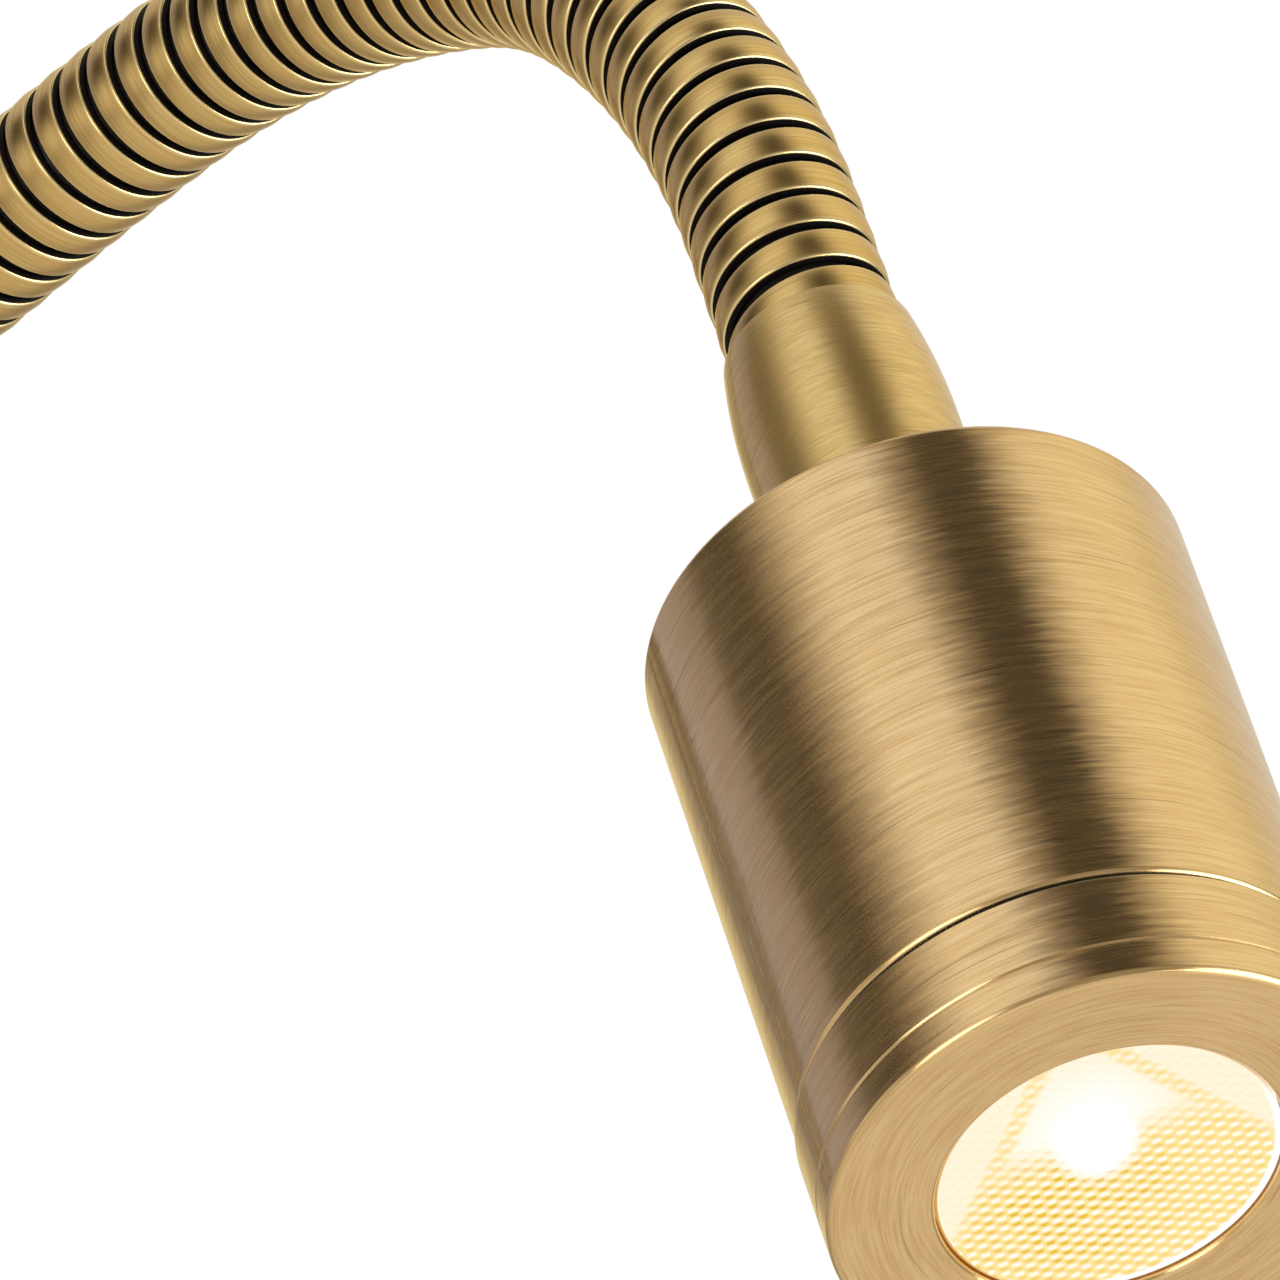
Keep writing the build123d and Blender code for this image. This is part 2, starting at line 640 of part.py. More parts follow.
on_wall = {
    "wall_plate": wall_plate(),
    "canopy": canopy(),
    "canopy_screws": canopy_screws(),
    "led_driver": led_driver(),
    "driver_screws": driver_screws(),
    "terminal_block": terminal_block(),
    "terminal_screws": terminal_screws(),
    "earth_screw": earth_screw(),
    "switch_body": switch_body(),
    "switch_nut": switch_nut(),
    "switch_button": switch_button(),
    "supply_wires": supply_wires(),
    "output_wires": output_wires(),
}
on_canopy = {
    "base_collar": collar(),
    "base_nipple": nipple(CANOPY_WALL),
    "base_lock_washer": lock_washer(CANOPY_WALL),
    "base_locknut": locknut(CANOPY_WALL),
}
on_head_back = {
    "head_collar": collar(),
    "head_nipple": nipple(HEAD_BACK),
    "head_lock_washer": lock_washer(HEAD_BACK),
    "head_locknut": locknut(HEAD_BACK),
}
in_head = {
    "head_body": head_body(),
    "heat_sink": heat_sink(),
    "thermal_pad": board_disc(SINK_TOP, BOARD_Z),
    "led_board": board_disc(BOARD_Z, BOARD_TOP),
    "board_screws": board_screws(),
    "led_chip": led_chip(),
    "lens_holder": lens_holder(),
    "lens": lens(),
    "lens_seal": lens_seal(),
    "bezel": bezel(),
    "head_wires": head_wires(),
}
seats = [(wall, on_wall), (canopy_seat, on_canopy), (head_seat, on_head_back), (head, in_head)]

nodes = neck_nodes()
for seat, pieces in seats:
    for name, shape in pieces.items():
        nodes[name] = seat.location * shape

os.makedirs("parts", exist_ok=True)
for name, shape in nodes.items():
    export_step(shape, f"parts/{name}.step")

end, turn_end = neck_point(NECK_LEN)
print("neck length", round(NECK_LEN, 1), "ends at", end, "heading", round(math.degrees(turn_end), 2))
print("head front", head.origin + head.z_dir * HEAD_LEN)
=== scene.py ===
"""Wall spotlight: a brass head on a wound gooseneck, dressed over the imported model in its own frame."""

import math
from functools import partial

import bpy
from mathutils import Matrix, Vector


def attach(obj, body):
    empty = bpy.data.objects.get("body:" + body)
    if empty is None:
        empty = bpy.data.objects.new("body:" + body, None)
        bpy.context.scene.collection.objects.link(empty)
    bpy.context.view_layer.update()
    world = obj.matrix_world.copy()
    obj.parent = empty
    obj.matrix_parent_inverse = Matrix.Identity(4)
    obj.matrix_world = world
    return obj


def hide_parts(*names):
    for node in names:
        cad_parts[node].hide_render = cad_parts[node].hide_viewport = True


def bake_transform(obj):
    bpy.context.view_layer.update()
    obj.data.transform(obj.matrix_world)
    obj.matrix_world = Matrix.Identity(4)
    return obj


bl_info = {
    "name": "Wall spotlight",
    "version": (1, 0, 0),
    "blender": (4, 5, 0),
    "location": "View3D > Sidebar > Spotlight",
    "description": "Wound neck, turned brass, lit lens and studio for the wall spotlight",
    "category": "Object",
}

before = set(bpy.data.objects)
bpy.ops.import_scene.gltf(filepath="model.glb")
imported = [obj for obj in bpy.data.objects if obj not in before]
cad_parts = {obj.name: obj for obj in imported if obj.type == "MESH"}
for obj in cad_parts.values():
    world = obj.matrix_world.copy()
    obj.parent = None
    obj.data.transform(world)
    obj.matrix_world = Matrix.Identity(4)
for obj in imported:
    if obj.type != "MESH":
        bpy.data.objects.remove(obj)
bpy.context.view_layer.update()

MM = 0.001

# Brass pieces of the wall end that show
WALL_FITTINGS = ("canopy", "switch_nut", "switch_button", "canopy_screws")

# Route of the neck from the wall outwards, as in the part
CANOPY_DEPTH = 22.0
COLLAR_LEN = 24.6
PITCH = 3.05
RIBS_PER_STRETCH = 6
STRETCHES = 12
STRETCH = PITCH * RIBS_PER_STRETCH
NECK_LEN = STRETCH * STRETCHES
STRAIGHT_START = 12.0
RISE_ANGLE = 11.1
BEND_RUNS = [17.0, 36.0, 13.1, 32.2, 12.0]
BEND_ANGLES = [-3.4, -27.0, -20.0, -28.4, 0.0]
RISING_RUN = NECK_LEN - STRAIGHT_START - sum(BEND_RUNS)
RUNS = [(STRAIGHT_START, 0.0), (RISING_RUN, RISE_ANGLE)] + list(zip(BEND_RUNS, BEND_ANGLES))

# Lead inside the neck, from behind the canopy's front to inside the head
LEAD_R = 2.1
LEAD_START = -31.9
LEAD_END = NECK_LEN + 33.7
LEAD_ROOM = 3.2

# Sections of the turned pieces, as in the part
COLLAR_R = 7.2
COLLAR_RIM_R = 6.46
COLLAR_SHOULDER = 8.6
SOCKET_R = 6.0
SOCKET_DEPTH = 12.6
NIPPLE_R = 5.05
NIPPLE_HOLE_R = 5.2
HEAD_R = 18.0
HEAD_LEN = 48.4
HEAD_BORE = 16.4
HEAD_LEDGE = 15.0
HEAD_BACK = 3.0
SINK_SEAT = 17.0
SEAM_Z = 39.6
SEAM = 0.35
BEZEL_R = 18.3
SPIGOT_R = 16.35
SPIGOT_BORE = 14.95
SPIGOT_LEN = 5.0
FACE_T = 2.0
OPENING_R = 11.35
LENS_R = 11.25
LENS_LIP_R = 12.75
LENS_LIP_LOW = 44.5
LENS_TOP = 46.0
LENS_RECESS = 0.5
# Depth below the face where the painted shade on the opening's wall starts
OPENING_SHADE_FROM = 0.4

# Roundings and fine turning of the dressed pieces, and how far up the bezel's rounded back edge the painted
# seam shade reaches
HEAD_SEAM_EDGE = 0.45
OPENING_EDGE = 0.38
SEAM_SHADE_RISE = 0.24
LINE_HALF = 0.18
LINE_FLOOR_HALF = 0.03
LINE_EDGE = 0.03
COLLAR_EDGE = 0.15
SOCKET_EDGE = 0.1
LENS_EDGE = 0.1
LENS_RIM = 0.2
LENS_RIM_FOOT = 0.26
DOMES_TRIM = 0.22
# A small dome's steps from foot to crest, as shares of its width and of its rise, and its drawn-out crest
DOME_STEPS = ((0.22, 0.5), (0.3, 0.32), (0.4, 0.18))
DOME_INSET = 0.62
DOME_CREST = (1.5, 0.6, 1.0)
# What shows in the lit lens, in mm from its middle: the emitter's roof shape, the glare and the amber
ROOF_MIDDLE = 0.05
ROOF_SLOPE = 0.62
ROOF_TOP = 8.95
ROOF_EDGE_SHARE = 0.75
LEAST_DRAWN = 0.12
GLARE_AT = (-0.3, 2.9, 0.0)
GLARE_SIZE = (2.6, 3.5, 1.0)
# Side of the lens rim that takes the painted reflection of the brass; the other side takes a painted
# highlight
SHADED_SIDE = (-0.5, 0.87, 0.0)
AMBER_AT = (-3.0, -2.6, 0.0)
# Reach past a face when its neighbours are picked out
HAIR = 0.02

# The winding, read off the photograph: which side of the neck faces the camera, and where it starts
FACING_ANGLE = 140.3
JOIN_ANGLE = FACING_ANGLE - 180.0
LEFT_ANGLE = FACING_ANGLE + 90.0
# Distances from the head collar in mm: the winding opens along the arch and half closes again after it
ARCH_NEAR = 22.0
ARCH_FAR = 72.0
ARCH_RUN = 30.0
# How far the inner coil is drawn in between two turns
CORE_WAIST = 0.97

# How far the brush strokes lean to either side, and how far the bezel's all lean one way
WAVER = 0.085
COLLAR_WAVER = 0.03
BEZEL_SLANT = -0.03
# Clear lacquer over the brushed brass
LACQUER = 0.65
LACQUER_GLOSS = 0.03

# Camera of the photograph, in the part's frame
CAMERA_AT = (-0.65597, -1.01451, -0.53809)
CAMERA_AZIMUTH = -39.69
CAMERA_ELEVATION = -25.49
CAMERA_LENS = 488.6

# What the metal sees round the head, from the side that faces the camera: degrees and colour
PANELS = [
    (-180.0, "#E0D8CC"),
    (-128.0, "#E6DCC6"),
    (-118.0, "#E8DDB8"),
    (-100.0, "#FFFADC"),
    (-66.0, "#FFFAE8"),
    (-54.0, "#BCB3A6"),
    (-44.0, "#2C2720"),
    (-23.0, "#2C2720"),
    (-13.0, "#98908A"),
    (1.0, "#FBFBFE"),
    (10.0, "#FFFFFF"),
    (28.0, "#FFFFFF"),
    (39.0, "#D6D2CF"),
    (50.0, "#98908A"),
    (62.0, "#463F36"),
    (70.0, "#241C12"),
    (88.0, "#20180E"),
    (93.0, "#989298"),
    (122.0, "#B8B4BE"),
    (134.0, "#AAA48E"),
    (150.0, "#BCAB84"),
    (160.0, "#F2DEA6"),
    (176.0, "#F0DEB0"),
    (180.0, "#E0D8CC"),
]
# Past the panels, before and behind the head: colour, and where along its axis that starts and is full
BEYOND_PANELS = [("#A8A298", -0.45, -0.2), ("#D6D1C8", -0.8, -0.93)]
# Softboxes that only edges and the arch catch: direction, inner and outer half angle, brightness
REFLECTED_BOXES = [
    ((-1.0, -0.2, -0.26), 11.0, 22.0, 3.2),
    ((-0.78, 0.6, -0.02), 6.0, 24.0, 0.45),
]

# Softbox of the bright edges: direction from the head, metres off, metres across, watts
EDGE_LIGHT_FROM = (0.47, -0.85, -0.22)
EDGE_LIGHT_AWAY = 3.0
EDGE_LIGHT_SIZE = 2.4
EDGE_LIGHT_POWER = 60.0

# Lamps of the matt pieces: name, place, metres across, watts, and the spot they aim at
SOFTBOXES = [
    ("key_softbox", (-1.1, -1.3, 1.2), 1.2, 26.0),
    ("fill_softbox", (1.3, -0.9, 0.7), 1.4, 12.0),
]
SOFTBOXES_AIM = (0.0, -0.14, -0.02)

# Studio floor in metres: it fades out before its edge
FLOOR_RADIUS = 1.7
FLOOR_LEVEL = -0.72
FLOOR_FADE = 0.8
FLOOR_GONE = 1.65


def linear(colour):
    """Linear colour of an sRGB hex value. Anything else is returned as it is."""
    if not isinstance(colour, str):
        return colour
    channels = []
    for at in (1, 3, 5):
        value = int(colour[at:at + 2], 16) / 255
        channels.append(value / 12.92 if value <= 0.04045 else ((value + 0.055) / 1.055) ** 2.4)
    return (*channels, 1.0)


def add_node(tree, kind, inputs=None, **settings):
    """Adds a shader node, such as Math or Mix. An input takes a value, a hex colour, a socket or a node."""
    made = tree.nodes.new(f"ShaderNode{kind}")
    for name, value in settings.items():
        setattr(made, name, value)
    for socket, source in (inputs or {}).items():
        if isinstance(source, bpy.types.Node):
            source = next(output for output in source.outputs if output.enabled)
        if isinstance(source, bpy.types.NodeSocket):
            tree.links.new(source, made.inputs[socket])
        else:
            made.inputs[socket].default_value = linear(source)
    return made


def new_material(name):
    """Empty node material, and what adds a node to it."""
    material = bpy.data.materials.new(name)
    material.use_nodes = True
    material.node_tree.nodes.clear()
    return material, partial(add_node, material.node_tree)


def set_ramp(ramp, stops):
    """Fills a colour ramp with (position, colour) stops."""
    elements = ramp.color_ramp.elements
    while len(elements) > 1:
        elements.remove(elements[-1])
    elements[0].position = stops[0][0]
    elements[0].color = linear(stops[0][1])
    for position, tone in stops[1:]:
        elements.new(position).color = linear(tone)


def clamped(value):
    """Value kept between 0 and 1."""
    return max(0.0, min(1.0, value))


def heading(angle):
    """Direction of the neck at an angle above the horizontal, away from the wall."""
    return Vector((0.0, -math.cos(angle), math.sin(angle)))


def neck_at(s):
    """Section frame of the neck at arc length s in mm: X stays level, Z runs along the neck."""
    point = Vector((0.0, -(CANOPY_DEPTH + COLLAR_LEN), 0.0))
    angle = 0.0
    left = s
    for run, turn in RUNS:
        step = max(0.0, min(left, run))
        bend = math.radians(turn) * step / run
        chord = 2 * step / bend * math.sin(bend / 2) if abs(bend) > 1e-9 else step
        point = point + heading(angle + bend / 2) * chord
        angle = angle + bend
        left = left - step
        if left <= 0:
            break
    along = heading(angle)
    point = (point + along * left) * MM
    across = Vector((1.0, 0.0, 0.0))
    section = Matrix((across, along.cross(across), along)).transposed().to_4x4()
    return Matrix.Translation(point) @ section


CANOPY_SEAT = neck_at(-COLLAR_LEN)
HEAD_SEAT = neck_at(NECK_LEN + COLLAR_LEN)
HEAD_COLLAR_SEAT = HEAD_SEAT @ Matrix.Rotation(math.pi, 4, "X")


def body_of_stretch(number):
    """Body that carries a stretch of the neck, counted from 1 at the wall."""
    if number == 1:
        return "wall_base"
    if number == STRETCHES:
        return "lamp_head"
    return f"neck_{number:02d}"


def length_property(name, description, size):
    """Length of a property group, with its default in mm."""
    return bpy.props.FloatProperty(name=name, description=description, default=size * MM, unit="LENGTH")


def share_property(name, description, part):
    """Share of a property group, between 0 and 1."""
    return bpy.props.FloatProperty(name=name, description=description, default=part, subtype="FACTOR")


def colour_property(name, description, hex_colour):
    """Colour of a property group, with its default as an sRGB hex value."""
    return bpy.props.FloatVectorProperty(
        name=name, description=description, default=linear(hex_colour), size=4, subtype="COLOR"
    )


class SpotlightNeck(bpy.types.PropertyGroup):
    """Sizes of the wound band."""

    band_radius: length_property("Band radius", "Radius over the crown of the wound band", 5.96)
    band_width: length_property("Band width", "Width of the band along the neck", 2.4)
    arch_opening: share_property(
        "Opening along the arch",
        "Share of its width that the band loses where the winding opens along the arch",
        0.18,
    )
    side_opening: share_property(
        "Opening at the side",
        "Share of its width that the band loses on the left of the neck, near the head",
        0.08,
    )
    band_depth: length_property("Band depth", "Thickness of the band, crown included", 0.75)
    crown: length_property("Crown", "How far the band's middle stands above its edges", 0.1)
    band_edge: length_property("Band edge", "Rounding of the band's edges", 0.16)
    core_radius: length_property(
        "Core radius", "Radius of the dark inner coil that shows in the gaps", 5.1
    )
    first_gap: length_property(
        "First gap", "Distance of the first gap from the head collar, on the facing side", 3.2
    )
    end_stretch: length_property(
        "End stretch", "How far the last turns are drawn out towards the head collar", 1.1
    )
    end_fade: length_property(
        "End stretch fade", "Length over which the stretch of the last turns fades", 4.6
    )


class SpotlightHead(bpy.types.PropertyGroup):
    """Sizes of the turned head and its lens."""

    edge: length_property("Turned edge", "Rounding of the head's and bezel's edges", 0.55)
    seam_edge: length_property("Seam edge", "Rounding of the two edges at the seam", 0.32)
    line_depth: length_property("Bezel line depth", "Depth of the fine line round the bezel", 0.1)
    line_back: length_property("Bezel line place", "Distance of the bezel's fine line from its face", 2.8)
    lenslet_pitch: length_property("Lenslet pitch", "Spacing of the small domes on the lens", 0.95)
    lenslet_rise: length_property("Lenslet rise", "Height of each small dome", 0.12)


class SpotlightFinish(bpy.types.PropertyGroup):
    """Colours of the finishes."""

    brass: colour_property("Brass", "Brushed brass of the turned pieces", "#E6C185")
    brass_worn: colour_property(
        "Brass in the brush lines", "Darker brass left in the brush lines", "#D7B276"
    )
    satin: colour_property("Satin brass", "Yellower brass of the head's collar", "#E4C077")
    band: colour_property("Band", "Brass of the wound band", "#DDB974")
    band_edge: colour_property("Band edge", "Brass rubbed bright along the band's edges", "#F0DAA0")
    lens_glow: colour_property("Lens glow", "Light of the lens away from the emitter", "#FDF0DA")
    lens_pale: colour_property(
        "Lens pale yellow", "Light of the lens where the emitter shows in its domes", "#FADE94"
    )
    lens_amber: colour_property("Lens amber", "Warm light in the domes of the lens", "#E4B832")


def deselect():
    """Leaves edit mode with nothing selected."""
    if bpy.context.mode != "OBJECT":
        bpy.ops.object.mode_set(mode="OBJECT")
    bpy.ops.object.select_all(action="DESELECT")


def make_active(piece):
    """Selects one piece alone."""
    deselect()
    piece.select_set(True)
    bpy.context.view_layer.objects.active = piece


def edit_all():
    """Edit mode with the whole mesh selected."""
    bpy.ops.object.mode_set(mode="EDIT")
    bpy.ops.mesh.select_all(action="SELECT")


def settle():
    """Puts the selected piece's place, turn and scale into its mesh."""
    bpy.ops.object.transform_apply(location=True, rotation=True, scale=True)


def rounded(outline):
    """Rounds the corners of an outline of (radius, height, rounding) points, given in order."""
    points = []
    count = len(outline)
    for k, (radius, height, edge) in enumerate(outline):
        corner = Vector((radius, height))
        if not edge or k in (0, count - 1):
            points.append(corner)
            continue
        back = (Vector(outline[k - 1][:2]) - corner).normalized()
        ahead = (Vector(outline[k + 1][:2]) - corner).normalized()
        half = back.angle(ahead) / 2
        reach = edge / math.tan(half)
        centre = corner + (back + ahead).normalized() * (edge / math.sin(half))
        first = corner + back * reach - centre
        last = corner + ahead * reach - centre
        sweep = first.angle_signed(last)
        steps = 6
        for step in range(steps + 1):
            points.append(centre + Matrix.Rotation(-sweep * step / steps, 2) @ first)
    return points


def turned(name, outline, seat, sides=192):
    """Turns a closed outline about the seat's axis, as on a lathe."""
    points = rounded(outline)
    deselect()
    radius, height = points[0]
    bpy.ops.mesh.primitive_circle_add(vertices=sides, radius=radius, location=(0.0, 0.0, height))
    piece = bpy.context.active_object
    piece.name = name
    piece.data.name = name
    settle()
    edit_all()
    for (radius, height), (next_radius, next_height) in zip(points, points[1:]):
        rise = (0.0, 0.0, next_height - height)
        bpy.ops.mesh.extrude_region_move(TRANSFORM_OT_translate={"value": rise})
        grow = next_radius / radius
        bpy.ops.transform.resize(value=(grow, grow, 1.0), center_override=(0.0, 0.0, next_height))
    bpy.ops.mesh.select_all(action="SELECT")
    bpy.ops.mesh.remove_doubles(threshold=1e-6)
    bpy.ops.mesh.fill_holes(sides=0)
    bpy.ops.mesh.normals_make_consistent(inside=False)
    bpy.ops.object.mode_set(mode="OBJECT")
    piece.matrix_world = seat
    settle()
    bpy.ops.object.shade_smooth_by_angle(angle=math.radians(40.0))
    weigh_normals(piece)
    return piece


def weigh_normals(piece):
    """Keeps the broad faces of a rounded piece flat in the light."""
    make_active(piece)
    weighted = piece.modifiers.new("Broad faces", "WEIGHTED_NORMAL")
    weighted.keep_sharp = True
    bpy.ops.object.modifier_apply(modifier=weighted.name)


def dress(piece, body, slot, material, *nodes):
    """Gives a finished piece its material and puts it on its body in place of CAD nodes; the slot is not
    used.
    """
    if not piece.data.materials:
        piece.data.materials.append(material)
    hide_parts(*nodes)
    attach(piece, body)


def paint_gap_shade(piece, seat, low, high, reach, material):
    """Paints shade on a turned piece's faces that lie in a gap, giving them a darker metal, by height and
    radius in mm.
    """
    piece.data.materials.append(material)
    to_seat = seat.inverted()
    for face in piece.data.polygons:
        at = to_seat @ face.center / MM
        if low < at.z < high and math.hypot(at.x, at.y) < reach:
            face.material_index = len(piece.data.materials) - 1


def in_mm(*outline):
    """Outline points of (radius, height, rounding) from millimetres to metres."""
    return [tuple(value * MM for value in point) for point in outline]


def collar_outline():
    """Outline of a collar from its seat to its rim: a straight foot and a long rounded shoulder."""
    low = COLLAR_LEN - COLLAR_SHOULDER
    drop = COLLAR_R - COLLAR_RIM_R
    curve = (drop**2 + COLLAR_SHOULDER**2) / (2 * drop)
    sweep = math.asin(COLLAR_SHOULDER / curve)
    points = [(NIPPLE_R, 0.0, 0.0), (COLLAR_R, 0.0, COLLAR_EDGE)]
    steps = 10
    for step in range(steps):
        angle = sweep * step / steps
        points.append((COLLAR_R - curve * (1 - math.cos(angle)), low + curve * math.sin(angle), 0.0))
    points.append((COLLAR_RIM_R, COLLAR_LEN, COLLAR_EDGE))
    points.append((SOCKET_R, COLLAR_LEN, SOCKET_EDGE))
    points.append((SOCKET_R, COLLAR_LEN - SOCKET_DEPTH, 0.0))
    points.append((NIPPLE_R, COLLAR_LEN - SOCKET_DEPTH, 0.0))
    points.append((NIPPLE_R, 0.0, 0.0))
    return in_mm(*points)


def lathe_coordinates(node, seat):
    """Sockets of a turned piece's own coordinates: unit radius, lay of the cut, and brush tangent."""
    axis = seat.to_3x3() @ Vector((0.0, 0.0, 1.0))
    coords = node("TexCoord")
    centred = node(
        "Mapping",
        {"Vector": coords.outputs["Object"], "Location": seat.translation},
        vector_type="TEXTURE",
    )
    height = node("VectorMath", {0: centred, 1: axis}, operation="DOT_PRODUCT")
    raised = node("VectorMath", {0: axis, "Scale": height}, operation="SCALE")
    flat = node("VectorMath", {0: centred, 1: raised}, operation="SUBTRACT")
    radial = node("VectorMath", {0: flat}, operation="NORMALIZE")
    reach = node("VectorMath", {0: flat}, operation="LENGTH")
    lay = node("Math", {0: height, 1: reach}, operation="SUBTRACT")
    lean = node("VectorMath", {0: radial, 1: axis}, operation="ADD")
    tangent = node(
        "VectorTransform", {0: lean}, vector_type="VECTOR", convert_from="OBJECT", convert_to="WORLD"
    )
    return axis, centred, radial, lay, tangent


def brush_lines(node, axis, radial, lay, spacing, sweep, detail):
    """Noise drawn out into lines round a turned piece: spacing in mm, sweep in lines per radian."""
    turns = node("VectorMath", {0: radial, "Scale": sweep}, operation="SCALE")
    fine = node("Math", {0: lay, 1: 1.0 / (spacing * MM)}, operation="MULTIPLY")
    along = node("VectorMath", {0: axis, "Scale": fine}, operation="SCALE")
    place = node("VectorMath", {0: turns, 1: along}, operation="ADD")
    return node("TexNoise", {"Vector": place, "Scale": 1.0, "Detail": detail, "Roughness": 0.6})


def brushed_brass(
    name, seat, finish, gloss_range=(0.29, 0.21), drawn_out=0.85, tones=None, waver=WAVER, slant=0.0
):
    """Brushed brass, lacquered: circular brush lines, a few dark scratches, and clear lacquer that mirrors
    the strips of light sharply where the metal turns away."""
    material, node = new_material(name)
    axis, centred, radial, lay, tangent = lathe_coordinates(node, seat)
    # Brush lines are about 0.05 mm in the metal and are drawn at 0.16 mm, so that they show
    fine = brush_lines(node, axis, radial, lay, 0.16, 3.2, 3.0)
    broad = brush_lines(node, axis, radial, lay, 0.6, 1.8, 2.0)
    scratch = brush_lines(node, axis, radial, lay, 0.3, 1.0, 1.0)
    patina = node("TexNoise", {"Vector": centred, "Scale": 1.0 / (9.0 * MM), "Detail": 3.0})
    mixed = node("Mix", {"Factor": 0.2, "A": fine, "B": broad}, data_type="FLOAT")
    lines = node("MapRange", {"Value": mixed, "From Min": 0.36, "From Max": 0.6})
    deep = node(
        "MapRange", {"Value": scratch, "From Min": 0.31, "From Max": 0.25, "To Min": 0.0, "To Max": 0.4}
    )
    tone = node("ValToRGB", {"Fac": lines})
    worn, plain, bright = tones or (finish.brass_worn, finish.brass, "#EACA92")
    set_ramp(tone, [(0.0, worn), (0.6, plain), (1.0, bright)])
    aged = node("MapRange", {"Value": patina, "To Min": 0.92, "To Max": 1.04})
    toned = node("Mix", {"Factor": 1.0, "A": tone, "B": aged}, data_type="RGBA", blend_type="MULTIPLY")
    scratched = node("Mix", {"Factor": deep, "A": toned, "B": "#7A5C30"}, data_type="RGBA")
    low, high = gloss_range
    gloss = node("MapRange", {"Value": lines, "To Min": low, "To Max": high})
    # Strokes of a few millimetres lean a degree or two to either side, so strips of light end raggedly
    stroke = brush_lines(node, axis, radial, lay, 0.28, 4.5, 2.0)
    lean = node("MapRange", {"Value": stroke, "To Min": slant - waver, "To Max": slant + waver})
    around = node("VectorMath", {0: axis, 1: radial}, operation="CROSS_PRODUCT")
    aside = node(
        "VectorTransform", {0: around}, vector_type="VECTOR", convert_from="OBJECT", convert_to="WORLD"
    )
    shift = node("VectorMath", {0: aside, "Scale": lean}, operation="SCALE")
    surface = node("NewGeometry")
    leaning = node("VectorMath", {0: surface.outputs["Normal"], 1: shift}, operation="ADD")
    unit = node("VectorMath", {0: leaning}, operation="NORMALIZE")
    relief = node("Bump", {"Height": lines, "Strength": 0.35, "Distance": 0.004 * MM, "Normal": unit})
    shader = node(
        "BsdfPrincipled",
        {
            "Base Color": scratched,
            "Metallic": 1.0,
            "Anisotropic": drawn_out,
            "Coat Weight": LACQUER,
            "Coat Roughness": LACQUER_GLOSS,
            "Coat IOR": 1.5,
            "Roughness": gloss,
            "Normal": relief,
            "Tangent": tangent,
        },
    )
    node("OutputMaterial", {"Surface": shader})
    return material


def band_brass(finish, half_width):
    """Drawn brass band: fine lines along the winding, and a painted highlight in brighter brass along its
    edges.
    """
    material, node = new_material("drawn brass band")
    winding = node("Attribute", attribute_name="winding")
    # Drawing lines of about 0.05 mm are drawn at 0.22 mm, so that they show
    stretched = node(
        "Mapping",
        {
            "Vector": winding.outputs["Vector"],
            "Scale": (1.0 / (9.0 * MM), 1.0 / (0.22 * MM), 1.0 / (2.0 * MM)),
        },
    )
    drawn = node("TexNoise", {"Vector": stretched, "Scale": 1.0, "Detail": 3.0, "Roughness": 0.6})
    lines = node("MapRange", {"Value": drawn, "From Min": 0.34, "From Max": 0.64})
    parts = node("SeparateXYZ", {"Vector": winding.outputs["Vector"]})
    side = node("Math", {0: parts.outputs["Y"]}, operation="ABSOLUTE")
    # Painted highlight: a brighter brass along the band's edges
    painted = node(
        "MapRange", {"Value": side, "From Min": 0.72 * half_width, "From Max": 0.98 * half_width}
    )
    tone = node("ValToRGB", {"Fac": lines})
    set_ramp(tone, [(0.0, "#CBA968"), (0.6, finish.band), (1.0, "#E0C482")])
    edged = node("Mix", {"Factor": painted, "A": tone, "B": finish.band_edge}, data_type="RGBA")
    gloss = node("MapRange", {"Value": lines, "To Min": 0.34, "To Max": 0.27})
    relief = node("Bump", {"Height": lines, "Strength": 0.25, "Distance": 0.004 * MM})
    shader = node(
        "BsdfPrincipled", {"Base Color": edged, "Metallic": 1.0, "Roughness": gloss, "Normal": relief}
    )
    node("OutputMaterial", {"Surface": shader})
    return material


def grained(name, dark, light, grain, roughness, metallic=0.0, relief=0.1):
    """Plain moulded, cast or plated material: two close tones, a fine grain and a soft sheen."""
    material, node = new_material(name)
    coords = node("TexCoord")
    grit = node(
        "TexNoise",
        {"Vector": coords.outputs["Object"], "Scale": 1.0 / (grain * MM), "Detail": 4.0, "Roughness": 0.6},
    )
    tone = node("ValToRGB", {"Fac": grit})
    set_ramp(tone, [(0.3, dark), (0.7, light)])
    low, high = roughness
    gloss = node("MapRange", {"Value": grit, "To Min": low, "To Max": high})
    bump = node("Bump", {"Height": grit, "Strength": relief, "Distance": 0.05 * MM})
    shader = node(
        "BsdfPrincipled", {"Base Color": tone, "Metallic": metallic, "Roughness": gloss, "Normal": bump}
    )
    node("OutputMaterial", {"Surface": shader})
    return material


